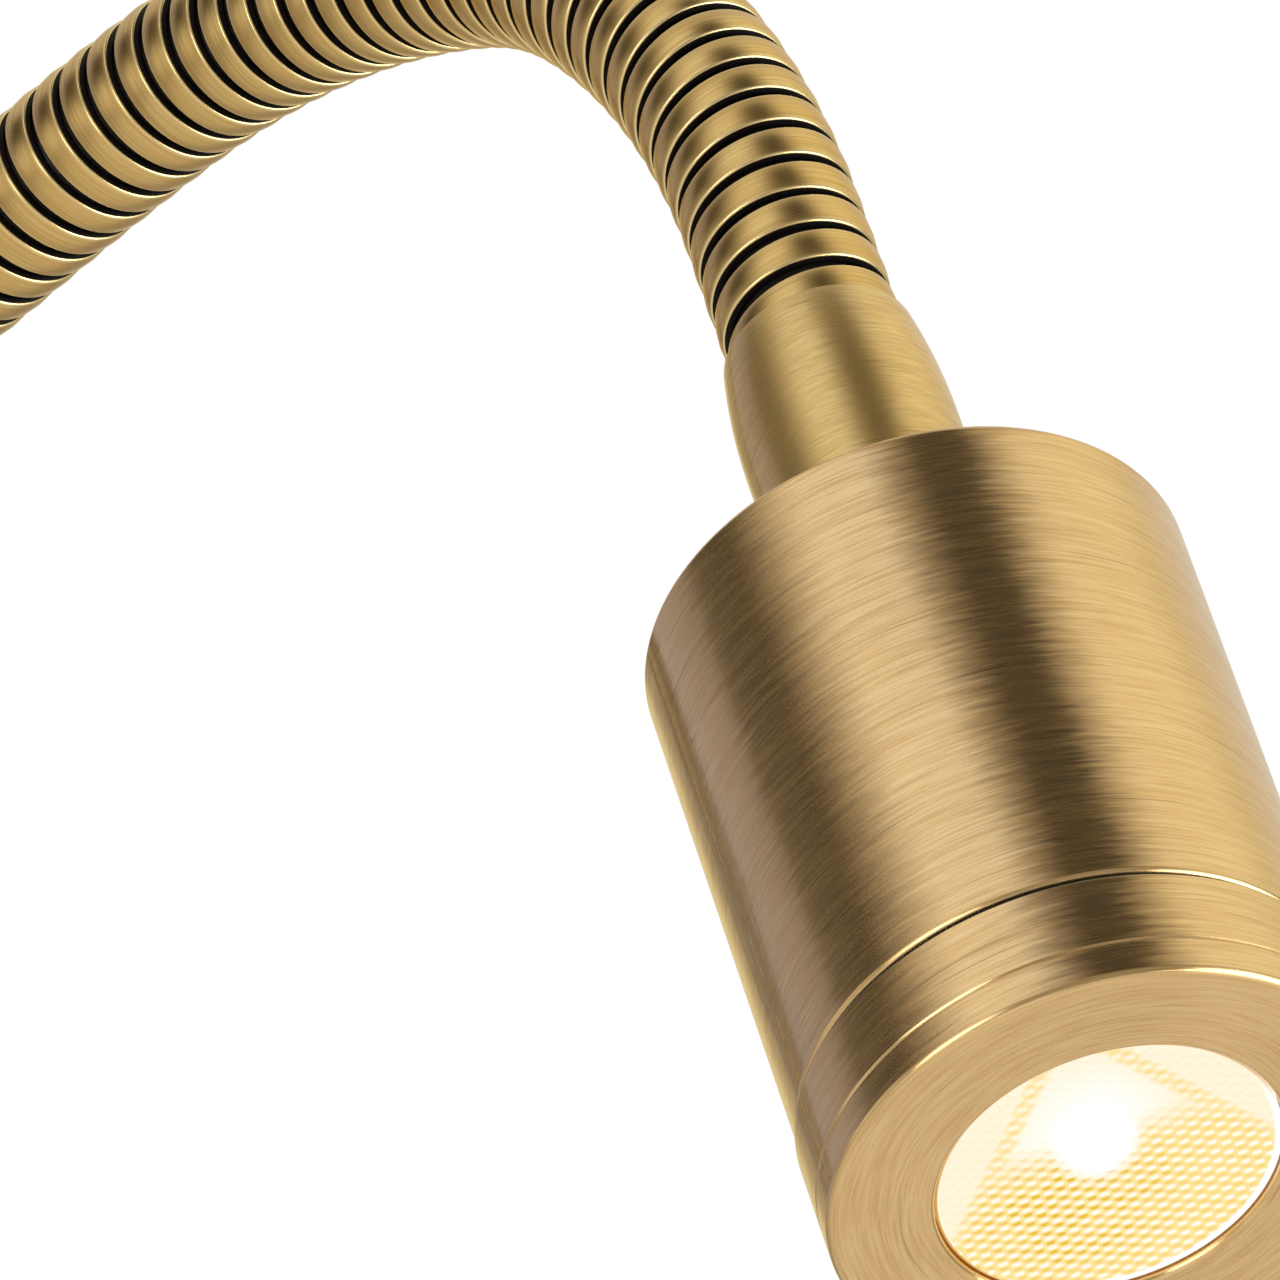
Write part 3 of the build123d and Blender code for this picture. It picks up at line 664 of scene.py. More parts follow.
def lit_acrylic(finish, seat, pitch):
    """Moulded acrylic lens with the lamp on: creamy light, amber in the domes, white over the emitter, a
    painted highlight along the rim's lower side and a painted reflection of the brass along its upper side.
    """
    material, node = new_material("lit acrylic lens")
    coords = node("TexCoord")
    turn = (seat @ Matrix.Rotation(math.radians(FACING_ANGLE - 90.0), 4, "Z")).to_euler()
    place = node(
        "Mapping",
        {
            "Vector": coords.outputs["Object"],
            "Location": seat.translation,
            "Rotation": turn,
            "Scale": (MM, MM, MM),
        },
        vector_type="TEXTURE",
    )
    parts = node("SeparateXYZ", {"Vector": place})
    # The lattice of the domes: 1 on each crest, -1 between two domes in a row, 0 between rows
    waves = []
    for axis, period in (("X", math.sqrt(3) * pitch), ("Y", pitch)):
        phase = node("Math", {0: parts.outputs[axis], 1: 2 * math.pi / period}, operation="MULTIPLY")
        waves.append(node("Math", {0: phase}, operation="COSINE"))
    lattice = node("Math", {0: waves[0], 1: waves[1]}, operation="MULTIPLY")
    # Moulding ripple of about 2 mm, so that no two domes glow alike
    ripple = node("TexNoise", {"Vector": place, "Scale": 0.5, "Detail": 2.0})
    uneven = node("MapRange", {"Value": ripple, "From Min": 0.3, "From Max": 0.62, "To Min": 0.4})
    # The emitter's square shows in the domes as a roof shape: its slopes fall to both sides of the middle
    middle = node("Math", {0: parts.outputs["X"], 1: -ROOF_MIDDLE}, operation="ADD")
    aside = node("Math", {0: middle}, operation="ABSOLUTE")
    slope = node("Math", {0: parts.outputs["Y"], 1: ROOF_SLOPE, 2: -ROOF_TOP}, operation="MULTIPLY_ADD")
    past = node("Math", {0: aside, 1: slope}, operation="ADD")
    off_edge = node("Math", {0: past}, operation="ABSOLUTE")
    # The white glare over the emitter is an upright oval
    centred = node(
        "Mapping", {"Vector": place, "Location": GLARE_AT, "Scale": GLARE_SIZE}, vector_type="TEXTURE"
    )
    flattened = []
    for vector in (centred, place):
        flattened.append(node("VectorMath", {0: vector, 1: (1.0, 1.0, 0.0)}, operation="MULTIPLY"))
    in_glare, on_lens = flattened
    glare = node("VectorMath", {0: in_glare}, operation="LENGTH")
    from_axis = node("VectorMath", {0: on_lens}, operation="LENGTH")
    height = node("VectorMath", {0: on_lens, 1: SHADED_SIDE}, operation="DOT_PRODUCT")
    # Soft-edged zones of the lens: what each goes by, and where it starts and where it is full
    zone = {"uneven": uneven}
    for name, measure, start, full in (
        ("inside", past, 0.7, -0.5),
        ("lower", parts.outputs["Y"], 5.5, 0.5),
        ("at_edge", off_edge, 1.1, 0.3),
        ("away", glare, 0.8, 1.3),
        ("far", glare, 0.9, 2.6),
        ("rim", from_axis, LENS_R - 0.6, LENS_R - 0.4),
        ("brim", from_axis, LENS_R - 0.24, LENS_R - 0.08),
        ("upper", height, -6.0, 2.0),
        ("under", height, -2.0, -6.0),
        ("crest", lattice, 0.1, 0.6),
        ("valley", lattice, -0.1, -0.7),
    ):
        zone[name] = node(
            "MapRange",
            {"Value": measure, "From Min": start, "From Max": full},
            interpolation_type="SMOOTHSTEP",
        )
    # What two zones give together, or one zone and a number
    for name, operation, first, second in (
        ("gold", "MULTIPLY", "brim", "upper"),
        ("crescent", "MULTIPLY", "rim", "under"),
        ("dense", "MULTIPLY", "inside", "lower"),
        ("edged", "MULTIPLY", "at_edge", ROOF_EDGE_SHARE),
        ("drawn", "MAXIMUM", "dense", "edged"),
        ("drawn", "MAXIMUM", "drawn", LEAST_DRAWN),
        ("drawn", "MULTIPLY", "drawn", "away"),
        ("amber", "MULTIPLY", "drawn", "valley"),
        ("amber", "MULTIPLY", "amber", "uneven"),
        ("pale", "MULTIPLY", "drawn", "crest"),
    ):
        pair = {0: zone[first], 1: zone.get(second, second)}
        zone[name] = node("Math", pair, operation=operation)
    # The amber gathers below the emitter and to its left
    spread = node("VectorMath", {0: on_lens, 1: AMBER_AT}, operation="DISTANCE")
    gathered = node(
        "MapRange",
        {"Value": spread, "From Min": 2.0, "From Max": 9.0, "To Min": 1.25, "To Max": 0.4},
        interpolation_type="SMOOTHSTEP",
    )
    zone["amber"] = node("Math", {0: zone["amber"], 1: gathered}, operation="MULTIPLY", use_clamp=True)
    # The rim's white on its lower side is a painted highlight, its gold on the upper side a painted
    # reflection of the brass
    light = "#FFFFFF"
    for tone, name in (
        (finish.lens_glow, "far"),
        (finish.lens_pale, "drawn"),
        (finish.lens_amber, "amber"),
        ("#FFF6E6", "pale"),
        ("#FFFFFF", "crescent"),
        ("#CC9A4C", "gold"),
    ):
        light = node("Mix", {"Factor": zone[name], "A": light, "B": tone}, data_type="RGBA")
    shader = node(
        "BsdfPrincipled",
        {"Base Color": "#3A2C14", "Roughness": 0.18, "Emission Strength": 1.0, "Emission Color": light},
    )
    node("OutputMaterial", {"Surface": shader})
    return material


def phosphor():
    """LED phosphor: a yellow dome that gives off warm white light."""
    material, node = new_material("LED phosphor")
    coords = node("TexCoord")
    grit = node("TexNoise", {"Vector": coords.outputs["Object"], "Scale": 1.0 / (0.4 * MM)})
    tone = node("ValToRGB", {"Fac": grit})
    set_ramp(tone, [(0.3, "#F6D27A"), (0.7, "#FFF1C4")])
    shader = node(
        "BsdfPrincipled",
        {"Base Color": tone, "Roughness": 0.4, "Emission Strength": 2.0, "Emission Color": tone},
    )
    node("OutputMaterial", {"Surface": shader})
    return material


class SPOTLIGHT_OT_stage(bpy.types.Operator):
    """Floor, soft studio light, white surroundings and the photograph's camera"""

    bl_idname = "spotlight.stage"
    bl_label = "Stage"

    def execute(self, context):
        self.floor()
        self.surroundings(context)
        self.softboxes(context)
        self.edge_light(context)
        self.camera(context)
        return {"FINISHED"}

    def floor(self):
        """Matt floor that fades out before its edge and is clear from below."""
        deselect()
        bpy.ops.mesh.primitive_circle_add(
            vertices=96, radius=FLOOR_RADIUS, fill_type="NGON", location=(0.0, 0.0, FLOOR_LEVEL)
        )
        floor = bpy.context.active_object
        floor.name = "studio_floor"
        material, node = new_material("matt studio floor")
        coords = node("TexCoord")
        fibre = node("TexNoise", {"Vector": coords.outputs["Object"], "Scale": 40.0, "Detail": 3.0})
        tone = node("ValToRGB", {"Fac": fibre})
        set_ramp(tone, [(0.0, "#E5DFD8"), (1.0, "#EBE6DF")])
        matt = node("BsdfPrincipled", {"Base Color": tone, "Roughness": 0.95, "Specular IOR Level": 0.1})
        clear = node("BsdfTransparent")
        side = node("NewGeometry")
        reach = node("VectorMath", {0: coords.outputs["Object"]}, operation="LENGTH")
        fade = node(
            "MapRange",
            {"Value": reach, "From Min": FLOOR_FADE, "From Max": FLOOR_GONE},
            interpolation_type="SMOOTHSTEP",
        )
        gone = node("Math", {0: side.outputs["Backfacing"], 1: fade}, operation="MAXIMUM")
        seen = node("MixShader", {0: gone, 1: matt, 2: clear})
        node("OutputMaterial", {"Surface": seen})
        floor.data.materials.append(material)

    def surroundings(self, context):
        """White to the camera. The metal sees white panels with dark gaps, upright round the head."""
        world = bpy.data.worlds.new("studio")
        context.scene.world = world
        world.use_nodes = True
        world.cycles.sampling_method = "NONE"
        world.node_tree.nodes.clear()
        node = partial(add_node, world.node_tree)
        facing = HEAD_SEAT @ Matrix.Rotation(math.radians(FACING_ANGLE), 4, "Z")
        coords = node("TexCoord")
        turned_in = node(
            "Mapping",
            {"Vector": coords.outputs["Generated"], "Rotation": facing.to_euler()},
            vector_type="TEXTURE",
        )
        around = node("TexGradient", {"Vector": turned_in}, gradient_type="RADIAL")
        panels = node("ValToRGB", {"Fac": around.outputs["Fac"]})
        set_ramp(panels, [(degrees / 360.0 + 0.5, tone) for degrees, tone in PANELS])
        parts = node("SeparateXYZ", {"Vector": turned_in})
        seen_by_metal = panels
        for tone, start, full in BEYOND_PANELS:
            part = node(
                "MapRange",
                {"Value": parts.outputs["Z"], "From Min": start, "From Max": full},
                interpolation_type="SMOOTHSTEP",
            )
            seen_by_metal = node("Mix", {"Factor": part, "A": seen_by_metal, "B": tone}, data_type="RGBA")
        metal = node("Background", {"Color": seen_by_metal})
        for direction, inner, outer, level in REFLECTED_BOXES:
            near = node(
                "VectorMath",
                {0: coords.outputs["Generated"], 1: Vector(direction).normalized()},
                operation="DOT_PRODUCT",
            )
            box = node(
                "MapRange",
                {
                    "Value": near,
                    "From Min": math.cos(math.radians(outer)),
                    "From Max": math.cos(math.radians(inner)),
                    "To Max": level,
                },
                interpolation_type="SMOOTHSTEP",
            )
            glow = node("Background", {"Color": "#FFFFFF", "Strength": box})
            metal = node("AddShader", {0: metal, 1: glow})
        soft = node("Background", {"Color": "#FFFFFF", "Strength": 0.52})
        white = node("Background", {"Color": "#FFFFFF", "Strength": 1.0})
        rays = node("LightPath")
        mirrored = node(
            "Math",
            {0: rays.outputs["Is Glossy Ray"], 1: rays.outputs["Is Transmission Ray"]},
            operation="MAXIMUM",
        )
        seen = node("MixShader", {0: mirrored, 1: soft, 2: metal})
        shown = node("MixShader", {0: rays.outputs["Is Camera Ray"], 1: seen, 2: white})
        node("OutputWorld", {"Surface": shown})

    def lamp(self, context, name, at, aim, size, power):
        """Round softbox that shines along a direction."""
        light = bpy.data.lights.new(name, "AREA")
        light.shape = "DISK"
        light.size = size
        light.energy = power
        holder = bpy.data.objects.new(name, light)
        holder.location = at
        holder.rotation_euler = aim.to_track_quat("-Z", "Y").to_euler()
        context.scene.collection.objects.link(holder)
        return holder

    def softboxes(self, context):
        """Two broad lamps that shape the matt pieces and leave a soft shadow on the floor."""
        for name, at, size, power in SOFTBOXES:
            aim = Vector(SOFTBOXES_AIM) - Vector(at)
            self.lamp(context, name, at, aim, size, power).visible_glossy = False

    def edge_light(self, context):
        """Bright softbox that draws white lines along the head's edges, kept off the wall end's fronts."""
        from_side = Vector(EDGE_LIGHT_FROM).normalized()
        at = HEAD_SEAT.translation + from_side * EDGE_LIGHT_AWAY
        holder = self.lamp(context, "edge_softbox", at, -from_side, EDGE_LIGHT_SIZE, EDGE_LIGHT_POWER)
        holder.visible_camera = False
        holder.visible_diffuse = False
        kept_out = bpy.data.collections.new("kept out of the edge light")
        for name in WALL_FITTINGS:
            kept_out.objects.link(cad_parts[name])
        for linked in kept_out.collection_objects:
            linked.light_linking.link_state = "EXCLUDE"
        holder.light_linking.receiver_collection = kept_out

    def camera(self, context):
        """The photograph's camera, with its colours shown as they are."""
        azimuth = math.radians(CAMERA_AZIMUTH)
        elevation = math.radians(CAMERA_ELEVATION)
        right = Vector((math.cos(azimuth), math.sin(azimuth), 0.0))
        back = Vector((math.sin(azimuth), -math.cos(azimuth), 0.0)) * math.cos(elevation)
        back.z = math.sin(elevation)
        data = bpy.data.cameras.new("photo_camera")
        data.lens = CAMERA_LENS
        data.sensor_width = 36.0
        data.clip_start = 0.02
        data.clip_end = 30.0
        camera = bpy.data.objects.new("photo_camera", data)
        turn = Matrix((right, back.cross(right), back)).transposed().to_4x4()
        camera.matrix_world = Matrix.Translation(CAMERA_AT) @ turn
        context.scene.collection.objects.link(camera)
        context.scene.camera = camera
        context.scene.view_settings.view_transform = "Standard"


class SPOTLIGHT_OT_neck(bpy.types.Operator):
    """Wound brass band of the gooseneck over its dark inner coil"""

    bl_idname = "spotlight.neck"
    bl_label = "Gooseneck"

    def execute(self, context):
        sizes = context.scene.spotlight_neck
        finish = context.scene.spotlight_finish
        self.sizes = sizes
        straight = self.straight_length(sizes, finish)
        # The winding is set by its first gap at the head and counted back from there in whole turns
        pitch = PITCH * MM
        length = NECK_LEN * MM
        phase = (JOIN_ANGLE - FACING_ANGLE) / 360.0
        start = length - sizes.first_gap - pitch / 2 + pitch * phase
        middle = STRETCH * MM / 2
        whole_turns = round((start - middle) / pitch)
        first = start - whole_turns * pitch
        for number in range(STRETCHES + 1):
            piece = self.copied(context, straight, f"gooseneck_band_{number + 1:02d}")
            self.lay(piece, first + (number - 1) * STRETCH * MM, middle + (number - 1) * STRETCH * MM)
            self.carry(piece, number, "gooseneck_brass", "gooseneck")
        self.leads()
        bpy.data.objects.remove(straight)
        return {"FINISHED"}

    def leads(self):
        """The lead inside the hose, in lengths laid along its route, and its ends in the canopy and head.
        """
        # PVC sheath: black, slightly shiny
        sheath = grained("black PVC sheath", "#0E0E0E", "#1B1B1B", 0.5, (0.4, 0.55))
        half = STRETCH / 2
        for number in range(STRETCHES + 1):
            low = LEAD_START if number == 0 else number * STRETCH - half
            high = LEAD_END if number == STRETCHES else number * STRETCH + half
            lead = self.straight_tube(LEAD_R * MM, 24, 12, (high - low) * MM)
            lead.name = f"lead_length_{number + 1:02d}"
            lead.data.name = lead.name
            lead.data.materials.append(sheath)
            self.lay(lead, 0.0, low * MM)
            self.carry(lead, number, "lead_sheath", "lead")

    def copied(self, context, source, name):
        """Copy of a piece with its own mesh."""
        piece = source.copy()
        piece.data = source.data.copy()
        piece.name = name
        piece.data.name = name
        context.scene.collection.objects.link(piece)
        return piece

    def carry(self, piece, number, slot, node):
        """Hides the CAD node that a length replaces, if there is one, and puts the first and last lengths
        on their bodies; the lengths between stay where they are laid.
        """
        if number < STRETCHES:
            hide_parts(f"{node}_{number + 1:02d}")
        if number == 0:
            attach(piece, body_of_stretch(1))
        elif number == STRETCHES:
            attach(piece, body_of_stretch(STRETCHES))
        else:
            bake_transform(piece)

    def straight_length(self, sizes, finish):
        """One straight stretch of band, wound about Z, with the coil inside it."""
        deselect()
        bpy.ops.mesh.primitive_plane_add(size=1.0, rotation=(math.pi / 2, 0.0, 0.0))
        band = bpy.context.active_object
        settle()
        edit_all()
        bpy.ops.transform.resize(value=(sizes.band_depth, 1.0, sizes.band_width))
        bpy.ops.mesh.bevel(offset=sizes.band_edge, segments=4, affect="VERTICES")
        bpy.ops.mesh.delete(type="ONLY_FACE")
        bpy.ops.mesh.select_all(action="SELECT")
        bpy.ops.mesh.subdivide(number_cuts=1)
        bpy.ops.object.mode_set(mode="OBJECT")
        half = sizes.band_width / 2
        for vertex in band.data.vertices:
            if vertex.co.x > 0:
                vertex.co.x -= sizes.crown * (vertex.co.z / half) ** 2
            vertex.co.x += sizes.band_radius - sizes.band_depth / 2
            vertex.co.y = 0.0
        winding = band.modifiers.new("Winding", "SCREW")
        winding.axis = "Z"
        winding.angle = 2 * math.pi
        winding.screw_offset = PITCH * MM
        winding.iterations = RIBS_PER_STRETCH
        winding.steps = 72
        winding.render_steps = 72
        winding.use_merge_vertices = False
        bpy.ops.object.modifier_apply(modifier=winding.name)
        edit_all()
        bpy.ops.mesh.fill_holes(sides=0)
        bpy.ops.mesh.normals_make_consistent(inside=False)
        bpy.ops.object.mode_set(mode="OBJECT")
        band.data.materials.append(band_brass(finish, half))
        bpy.ops.object.shade_smooth_by_angle(angle=math.radians(50.0))
        core = self.straight_core(sizes)
        make_active(band)
        core.select_set(True)
        bpy.ops.object.join()
        # Painted shade: the band's flanks and underside get the coil's near-black material, so the gaps
        # between turns look black
        outside = sizes.band_radius - sizes.band_edge - 0.8 * sizes.crown
        for face in band.data.polygons:
            radii = [math.hypot(*band.data.vertices[k].co.xy) for k in face.vertices]
            if min(radii) < outside:
                face.material_index = 1
        return band

    def straight_core(self, sizes):
        """Dark inner coil, one bulge for each turn, hollow for the lead."""
        steps = RIBS_PER_STRETCH * 4
        core = self.straight_tube(sizes.core_radius, 48, steps, STRETCH * MM, CORE_WAIST, LEAD_ROOM * MM)
        # Spring steel of the inner coil: nearly black, with a dull shine; on the band's flanks it is
        # painted shade
        core.data.materials.append(grained("dark coil steel, painted shade on band flanks", "#0B0706", "#1A120E", 0.4, (0.45, 0.6)))
        return core

    def straight_tube(self, radius, sides, steps, length, waist=1.0, bore=0.0):
        """Straight tube along Z, drawn in and let out at each pair of steps, hollow if it has a bore."""
        deselect()
        bpy.ops.mesh.primitive_circle_add(vertices=sides, radius=radius)
        tube = bpy.context.active_object
        edit_all()
        for k in range(steps):
            bpy.ops.mesh.extrude_region_move(TRANSFORM_OT_translate={"value": (0.0, 0.0, length / steps)})
            grow = waist if k % 2 == 0 else 1.0 / waist
            bpy.ops.transform.resize(value=(grow, grow, 1.0))
        bpy.ops.mesh.select_all(action="SELECT")
        if not bore:
            bpy.ops.mesh.fill_holes(sides=0)
        bpy.ops.mesh.normals_make_consistent(inside=False)
        bpy.ops.object.mode_set(mode="OBJECT")
        if bore:
            wall = tube.modifiers.new("Wall", "SOLIDIFY")
            wall.thickness = radius - bore
            wall.offset = -1.0
            bpy.ops.object.modifier_apply(modifier=wall.name)
        bpy.ops.object.shade_smooth_by_angle(angle=math.radians(50.0))
        return tube

    def lay(self, piece, band_start, core_start):
        """Lays a straight stretch along the neck's route, each section of the band kept square to it."""
        sizes = self.sizes
        pitch = PITCH * MM
        length = NECK_LEN * MM
        core_limit = sizes.band_radius - sizes.band_depth - 0.001 * MM
        turn = math.radians(JOIN_ANGLE)
        mesh = piece.data
        winding = mesh.attributes.new("winding", "FLOAT_VECTOR", "POINT")
        for vertex in mesh.vertices:
            x, y, z = vertex.co
            radius = math.hypot(x, y)
            angle = math.atan2(y, x)
            if radius < core_limit:
                middle = core_start + z
                offset = 0.0
            else:
                whole = round(z / pitch - angle / (2 * math.pi))
                run = pitch * (angle / (2 * math.pi) + whole)
                offset = z - run
                middle = band_start + run
                middle += sizes.end_stretch * math.exp(-max(length - middle, 0.0) / sizes.end_fade)
            section = neck_at(middle / MM)
            away = (length - middle) / MM
            opened = clamped((away - ARCH_NEAR) / ARCH_RUN) - 0.5 * clamped((away - ARCH_FAR) / ARCH_RUN)
            near = 1.0 - clamped((away - ARCH_NEAR) / ARCH_RUN)
            aside = near * math.cos(angle + turn - math.radians(LEFT_ANGLE))
            width = offset * (1.0 - sizes.arch_opening * opened - sizes.side_opening * aside)
            spot = Vector((radius * math.cos(angle + turn), radius * math.sin(angle + turn), width))
            vertex.co = section @ spot
            winding.data[vertex.index].vector = (middle / pitch * 2 * math.pi * radius, offset, radius)
        mesh.update()


class SPOTLIGHT_OT_head(bpy.types.Operator):
    """Turned head, its bezel and its collar"""

    bl_idname = "spotlight.head"
    bl_label = "Head"

    def execute(self, context):
        sizes = context.scene.spotlight_head
        finish = context.scene.spotlight_finish
        edge = sizes.edge / MM
        seam_edge = sizes.seam_edge / MM
        material = brushed_brass("brushed brass, head", HEAD_SEAT, finish)
        body = turned(
            "head_shell",
            in_mm(
                (NIPPLE_HOLE_R, 0.0, 0.0),
                (HEAD_R, 0.0, edge),
                (HEAD_R, SEAM_Z, HEAD_SEAM_EDGE),
                (HEAD_BORE, SEAM_Z, 0.0),
                (HEAD_BORE, SINK_SEAT, 0.0),
                (HEAD_LEDGE, SINK_SEAT, 0.0),
                (HEAD_LEDGE, HEAD_BACK, 0.0),
                (NIPPLE_HOLE_R, HEAD_BACK, 0.0),
                (NIPPLE_HOLE_R, 0.0, 0.0),
            ),
            HEAD_SEAT,
        )
        dress(body, "lamp_head", "brushed_brass", material, "head_body")
        # Blackened thread, and painted shade on the faces in the seam gap and on the lower part of the
        # bezel's rounded back edge: no shine, nearly black
        black = grained("blackened thread and painted seam shade", "#070504", "#0F0B08", 0.4, (0.7, 0.85))
        # Painted shade: the head's end face inside the seam gap goes nearly black
        paint_gap_shade(body, HEAD_SEAT, SEAM_Z - HAIR, SEAM_Z + HAIR, HEAD_R - HEAD_SEAM_EDGE / 2, black)
        line = HEAD_LEN - sizes.line_back / MM
        depth = sizes.line_depth / MM
        low = SEAM_Z + SEAM
        bezel = turned(
            "bezel_ring",
            in_mm(
                (SPIGOT_BORE, HEAD_LEN - FACE_T, 0.0),
                (SPIGOT_BORE, SEAM_Z - SPIGOT_LEN, 0.0),
                (SPIGOT_R, SEAM_Z - SPIGOT_LEN, 0.0),
                (SPIGOT_R, low, 0.0),
                (BEZEL_R, low, seam_edge),
                (BEZEL_R, line - LINE_HALF, LINE_EDGE),
                (BEZEL_R - depth, line - LINE_FLOOR_HALF, 0.0),
                (BEZEL_R - depth, line + LINE_FLOOR_HALF, 0.0),
                (BEZEL_R, line + LINE_HALF, LINE_EDGE),
                (BEZEL_R, HEAD_LEN, edge),
                (OPENING_R, HEAD_LEN, OPENING_EDGE),
                (OPENING_R, HEAD_LEN - OPENING_SHADE_FROM, 0.0),
                (OPENING_R, HEAD_LEN - FACE_T, 0.0),
                (SPIGOT_BORE, HEAD_LEN - FACE_T, 0.0),
            ),
            HEAD_SEAT,
        )
        # The bezel's strokes slant a little, so its strips of light stand off from the head's
        slanted = brushed_brass("brushed brass, bezel", HEAD_SEAT, finish, slant=BEZEL_SLANT)
        dress(bezel, "lamp_head", "brushed_brass", slanted, "bezel")
        # The bezel's thread is blackened; its back face and the lower part of its rounded back edge go
        # nearly black as painted shade in the seam
        paint_gap_shade(bezel, HEAD_SEAT, SEAM_Z - SPIGOT_LEN - HAIR, low + SEAM_SHADE_RISE, BEZEL_R, black)
        # Painted shade on the opening's wall, below a thin band at the face: a darker brown brass
        brown = grained("brass with painted shade, opening wall", "#8E5E28", "#B07C3C", 0.4, (0.4, 0.55), 1.0)
        paint_gap_shade(bezel, HEAD_SEAT, HEAD_LEN - FACE_T - HAIR, HEAD_LEN - OPENING_SHADE_FROM, OPENING_R + HAIR, brown)
        collar = turned("head_collar_turned", collar_outline(), HEAD_COLLAR_SEAT, 128)
        # Satin brass: the collar is brushed softer than the head, so its strips of light run together
        tones = ("#D5B26C", finish.satin, "#E8CA84")
        satin = brushed_brass(
            "satin brass, head collar", HEAD_SEAT, finish, (0.42, 0.34), 0.5, tones, COLLAR_WAVER
        )
        dress(collar, "lamp_head", "brushed_brass", satin, "head_collar")
        return {"FINISHED"}


class SPOTLIGHT_OT_lens(bpy.types.Operator):
    """Moulded lens front with a sheet of small domes, lit from behind"""

    bl_idname = "spotlight.lens"
    bl_label = "Lens"

    def execute(self, context):
        sizes = context.scene.spotlight_head
        finish = context.scene.spotlight_finish
        front = HEAD_LEN - LENS_RECESS
        rise = sizes.lenslet_rise / MM
        plate = turned(
            "lens_front",
            in_mm(
                (LENS_LIP_R, LENS_LIP_LOW, 0.0),
                (LENS_LIP_R, LENS_TOP, 0.0),
                (LENS_R, LENS_TOP, 0.0),
                (LENS_R, front, LENS_EDGE),
                (LENS_R - LENS_RIM, front, 0.0),
                (LENS_R - LENS_RIM_FOOT, front - rise, 0.0),
            ),
            HEAD_SEAT,
            128,
        )
        domes = self.lenslets(sizes, front - rise)
        material = lit_acrylic(finish, HEAD_SEAT, sizes.lenslet_pitch / MM)
        plate.data.materials.append(material)
        domes.data.materials.append(material)
        make_active(plate)
        domes.select_set(True)
        bpy.ops.object.join()
        dress(plate, "lamp_head", "optical_lens", material, "lens")
        return {"FINISHED"}

    def lenslets(self, sizes, level):
        """One six-sided dome, repeated in offset rows and trimmed to the lens."""
        pitch = sizes.lenslet_pitch
        row = pitch * math.sqrt(3) / 2
        limit = (LENS_R - DOMES_TRIM) * MM
        count = int(limit / pitch) * 2 + 5
        rows = int(limit / row) * 2 + 5
        deselect()
        bpy.ops.mesh.primitive_circle_add(
            vertices=6, radius=pitch / math.sqrt(3), fill_type="NGON", rotation=(0.0, 0.0, math.pi / 2)
        )
        dome = bpy.context.active_object
        settle()
        edit_all()
        for share, height in DOME_STEPS:
            bpy.ops.mesh.inset(thickness=share * pitch / 2 * DOME_INSET)
            bpy.ops.transform.translate(value=(0.0, 0.0, height * sizes.lenslet_rise))
        bpy.ops.transform.resize(value=DOME_CREST)
        bpy.ops.object.mode_set(mode="OBJECT")
        bpy.ops.object.shade_smooth()
        along = dome.modifiers.new("Along", "ARRAY")
        along.use_relative_offset = False
        along.use_constant_offset = True
        along.constant_offset_displace = (0.0, pitch, 0.0)
        along.count = count
        bpy.ops.object.modifier_apply(modifier=along.name)
        rows_made = []
        for k in range(rows):
            copy = dome.copy()
            copy.data = dome.data.copy()
            bpy.context.scene.collection.objects.link(copy)
            copy.location = (k * row, pitch / 2 if (k - rows // 2) % 2 else 0.0, 0.0)
            rows_made.append(copy)
        bpy.data.objects.remove(dome)
        dome = rows_made[0]
        make_active(dome)
        for copy in rows_made:
            copy.select_set(True)
        bpy.ops.object.join()
        dome.name = "lens_domes"
        settle()
        dome.location = (-(rows - 1) * row / 2, -(count - 1) * pitch / 2, 0.0)
        settle()
        bpy.ops.object.mode_set(mode="EDIT")
        bpy.ops.mesh.select_mode(type="VERT")
        bpy.ops.mesh.select_all(action="DESELECT")
        bpy.ops.object.mode_set(mode="OBJECT")
        for vertex in dome.data.vertices:
            vertex.select = vertex.co.x**2 + vertex.co.y**2 > limit**2
        bpy.ops.object.mode_set(mode="EDIT")
        bpy.ops.mesh.delete(type="VERT")
        bpy.ops.mesh.select_all(action="SELECT")
        bpy.ops.mesh.remove_doubles(threshold=0.01 * MM)
        bpy.ops.object.mode_set(mode="OBJECT")
        turn = Matrix.Rotation(math.radians(FACING_ANGLE - 90.0), 4, "Z")
        dome.matrix_world = HEAD_SEAT @ Matrix.Translation((0.0, 0.0, level * MM)) @ turn
        settle()
        return dome


class SPOTLIGHT_OT_wall_end(bpy.types.Operator):
    """Collar at the wall and the finishes of the canopy and what it holds"""

    bl_idname = "spotlight.wall_end"
    bl_label = "Wall end"

    def execute(self, context):
        finish = context.scene.spotlight_finish
        material = brushed_brass("brushed brass, wall", CANOPY_SEAT, finish)
        collar = turned("base_collar_turned", collar_outline(), CANOPY_SEAT, 128)
        dress(collar, "wall_base", "brushed_brass", material, "base_collar")
        for name in WALL_FITTINGS:
            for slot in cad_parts[name].material_slots:
                slot.material = material
        # The photograph's head mirrors no canopy, so this one is kept out of reflections
        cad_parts["canopy"].visible_glossy = False
        return {"FINISHED"}


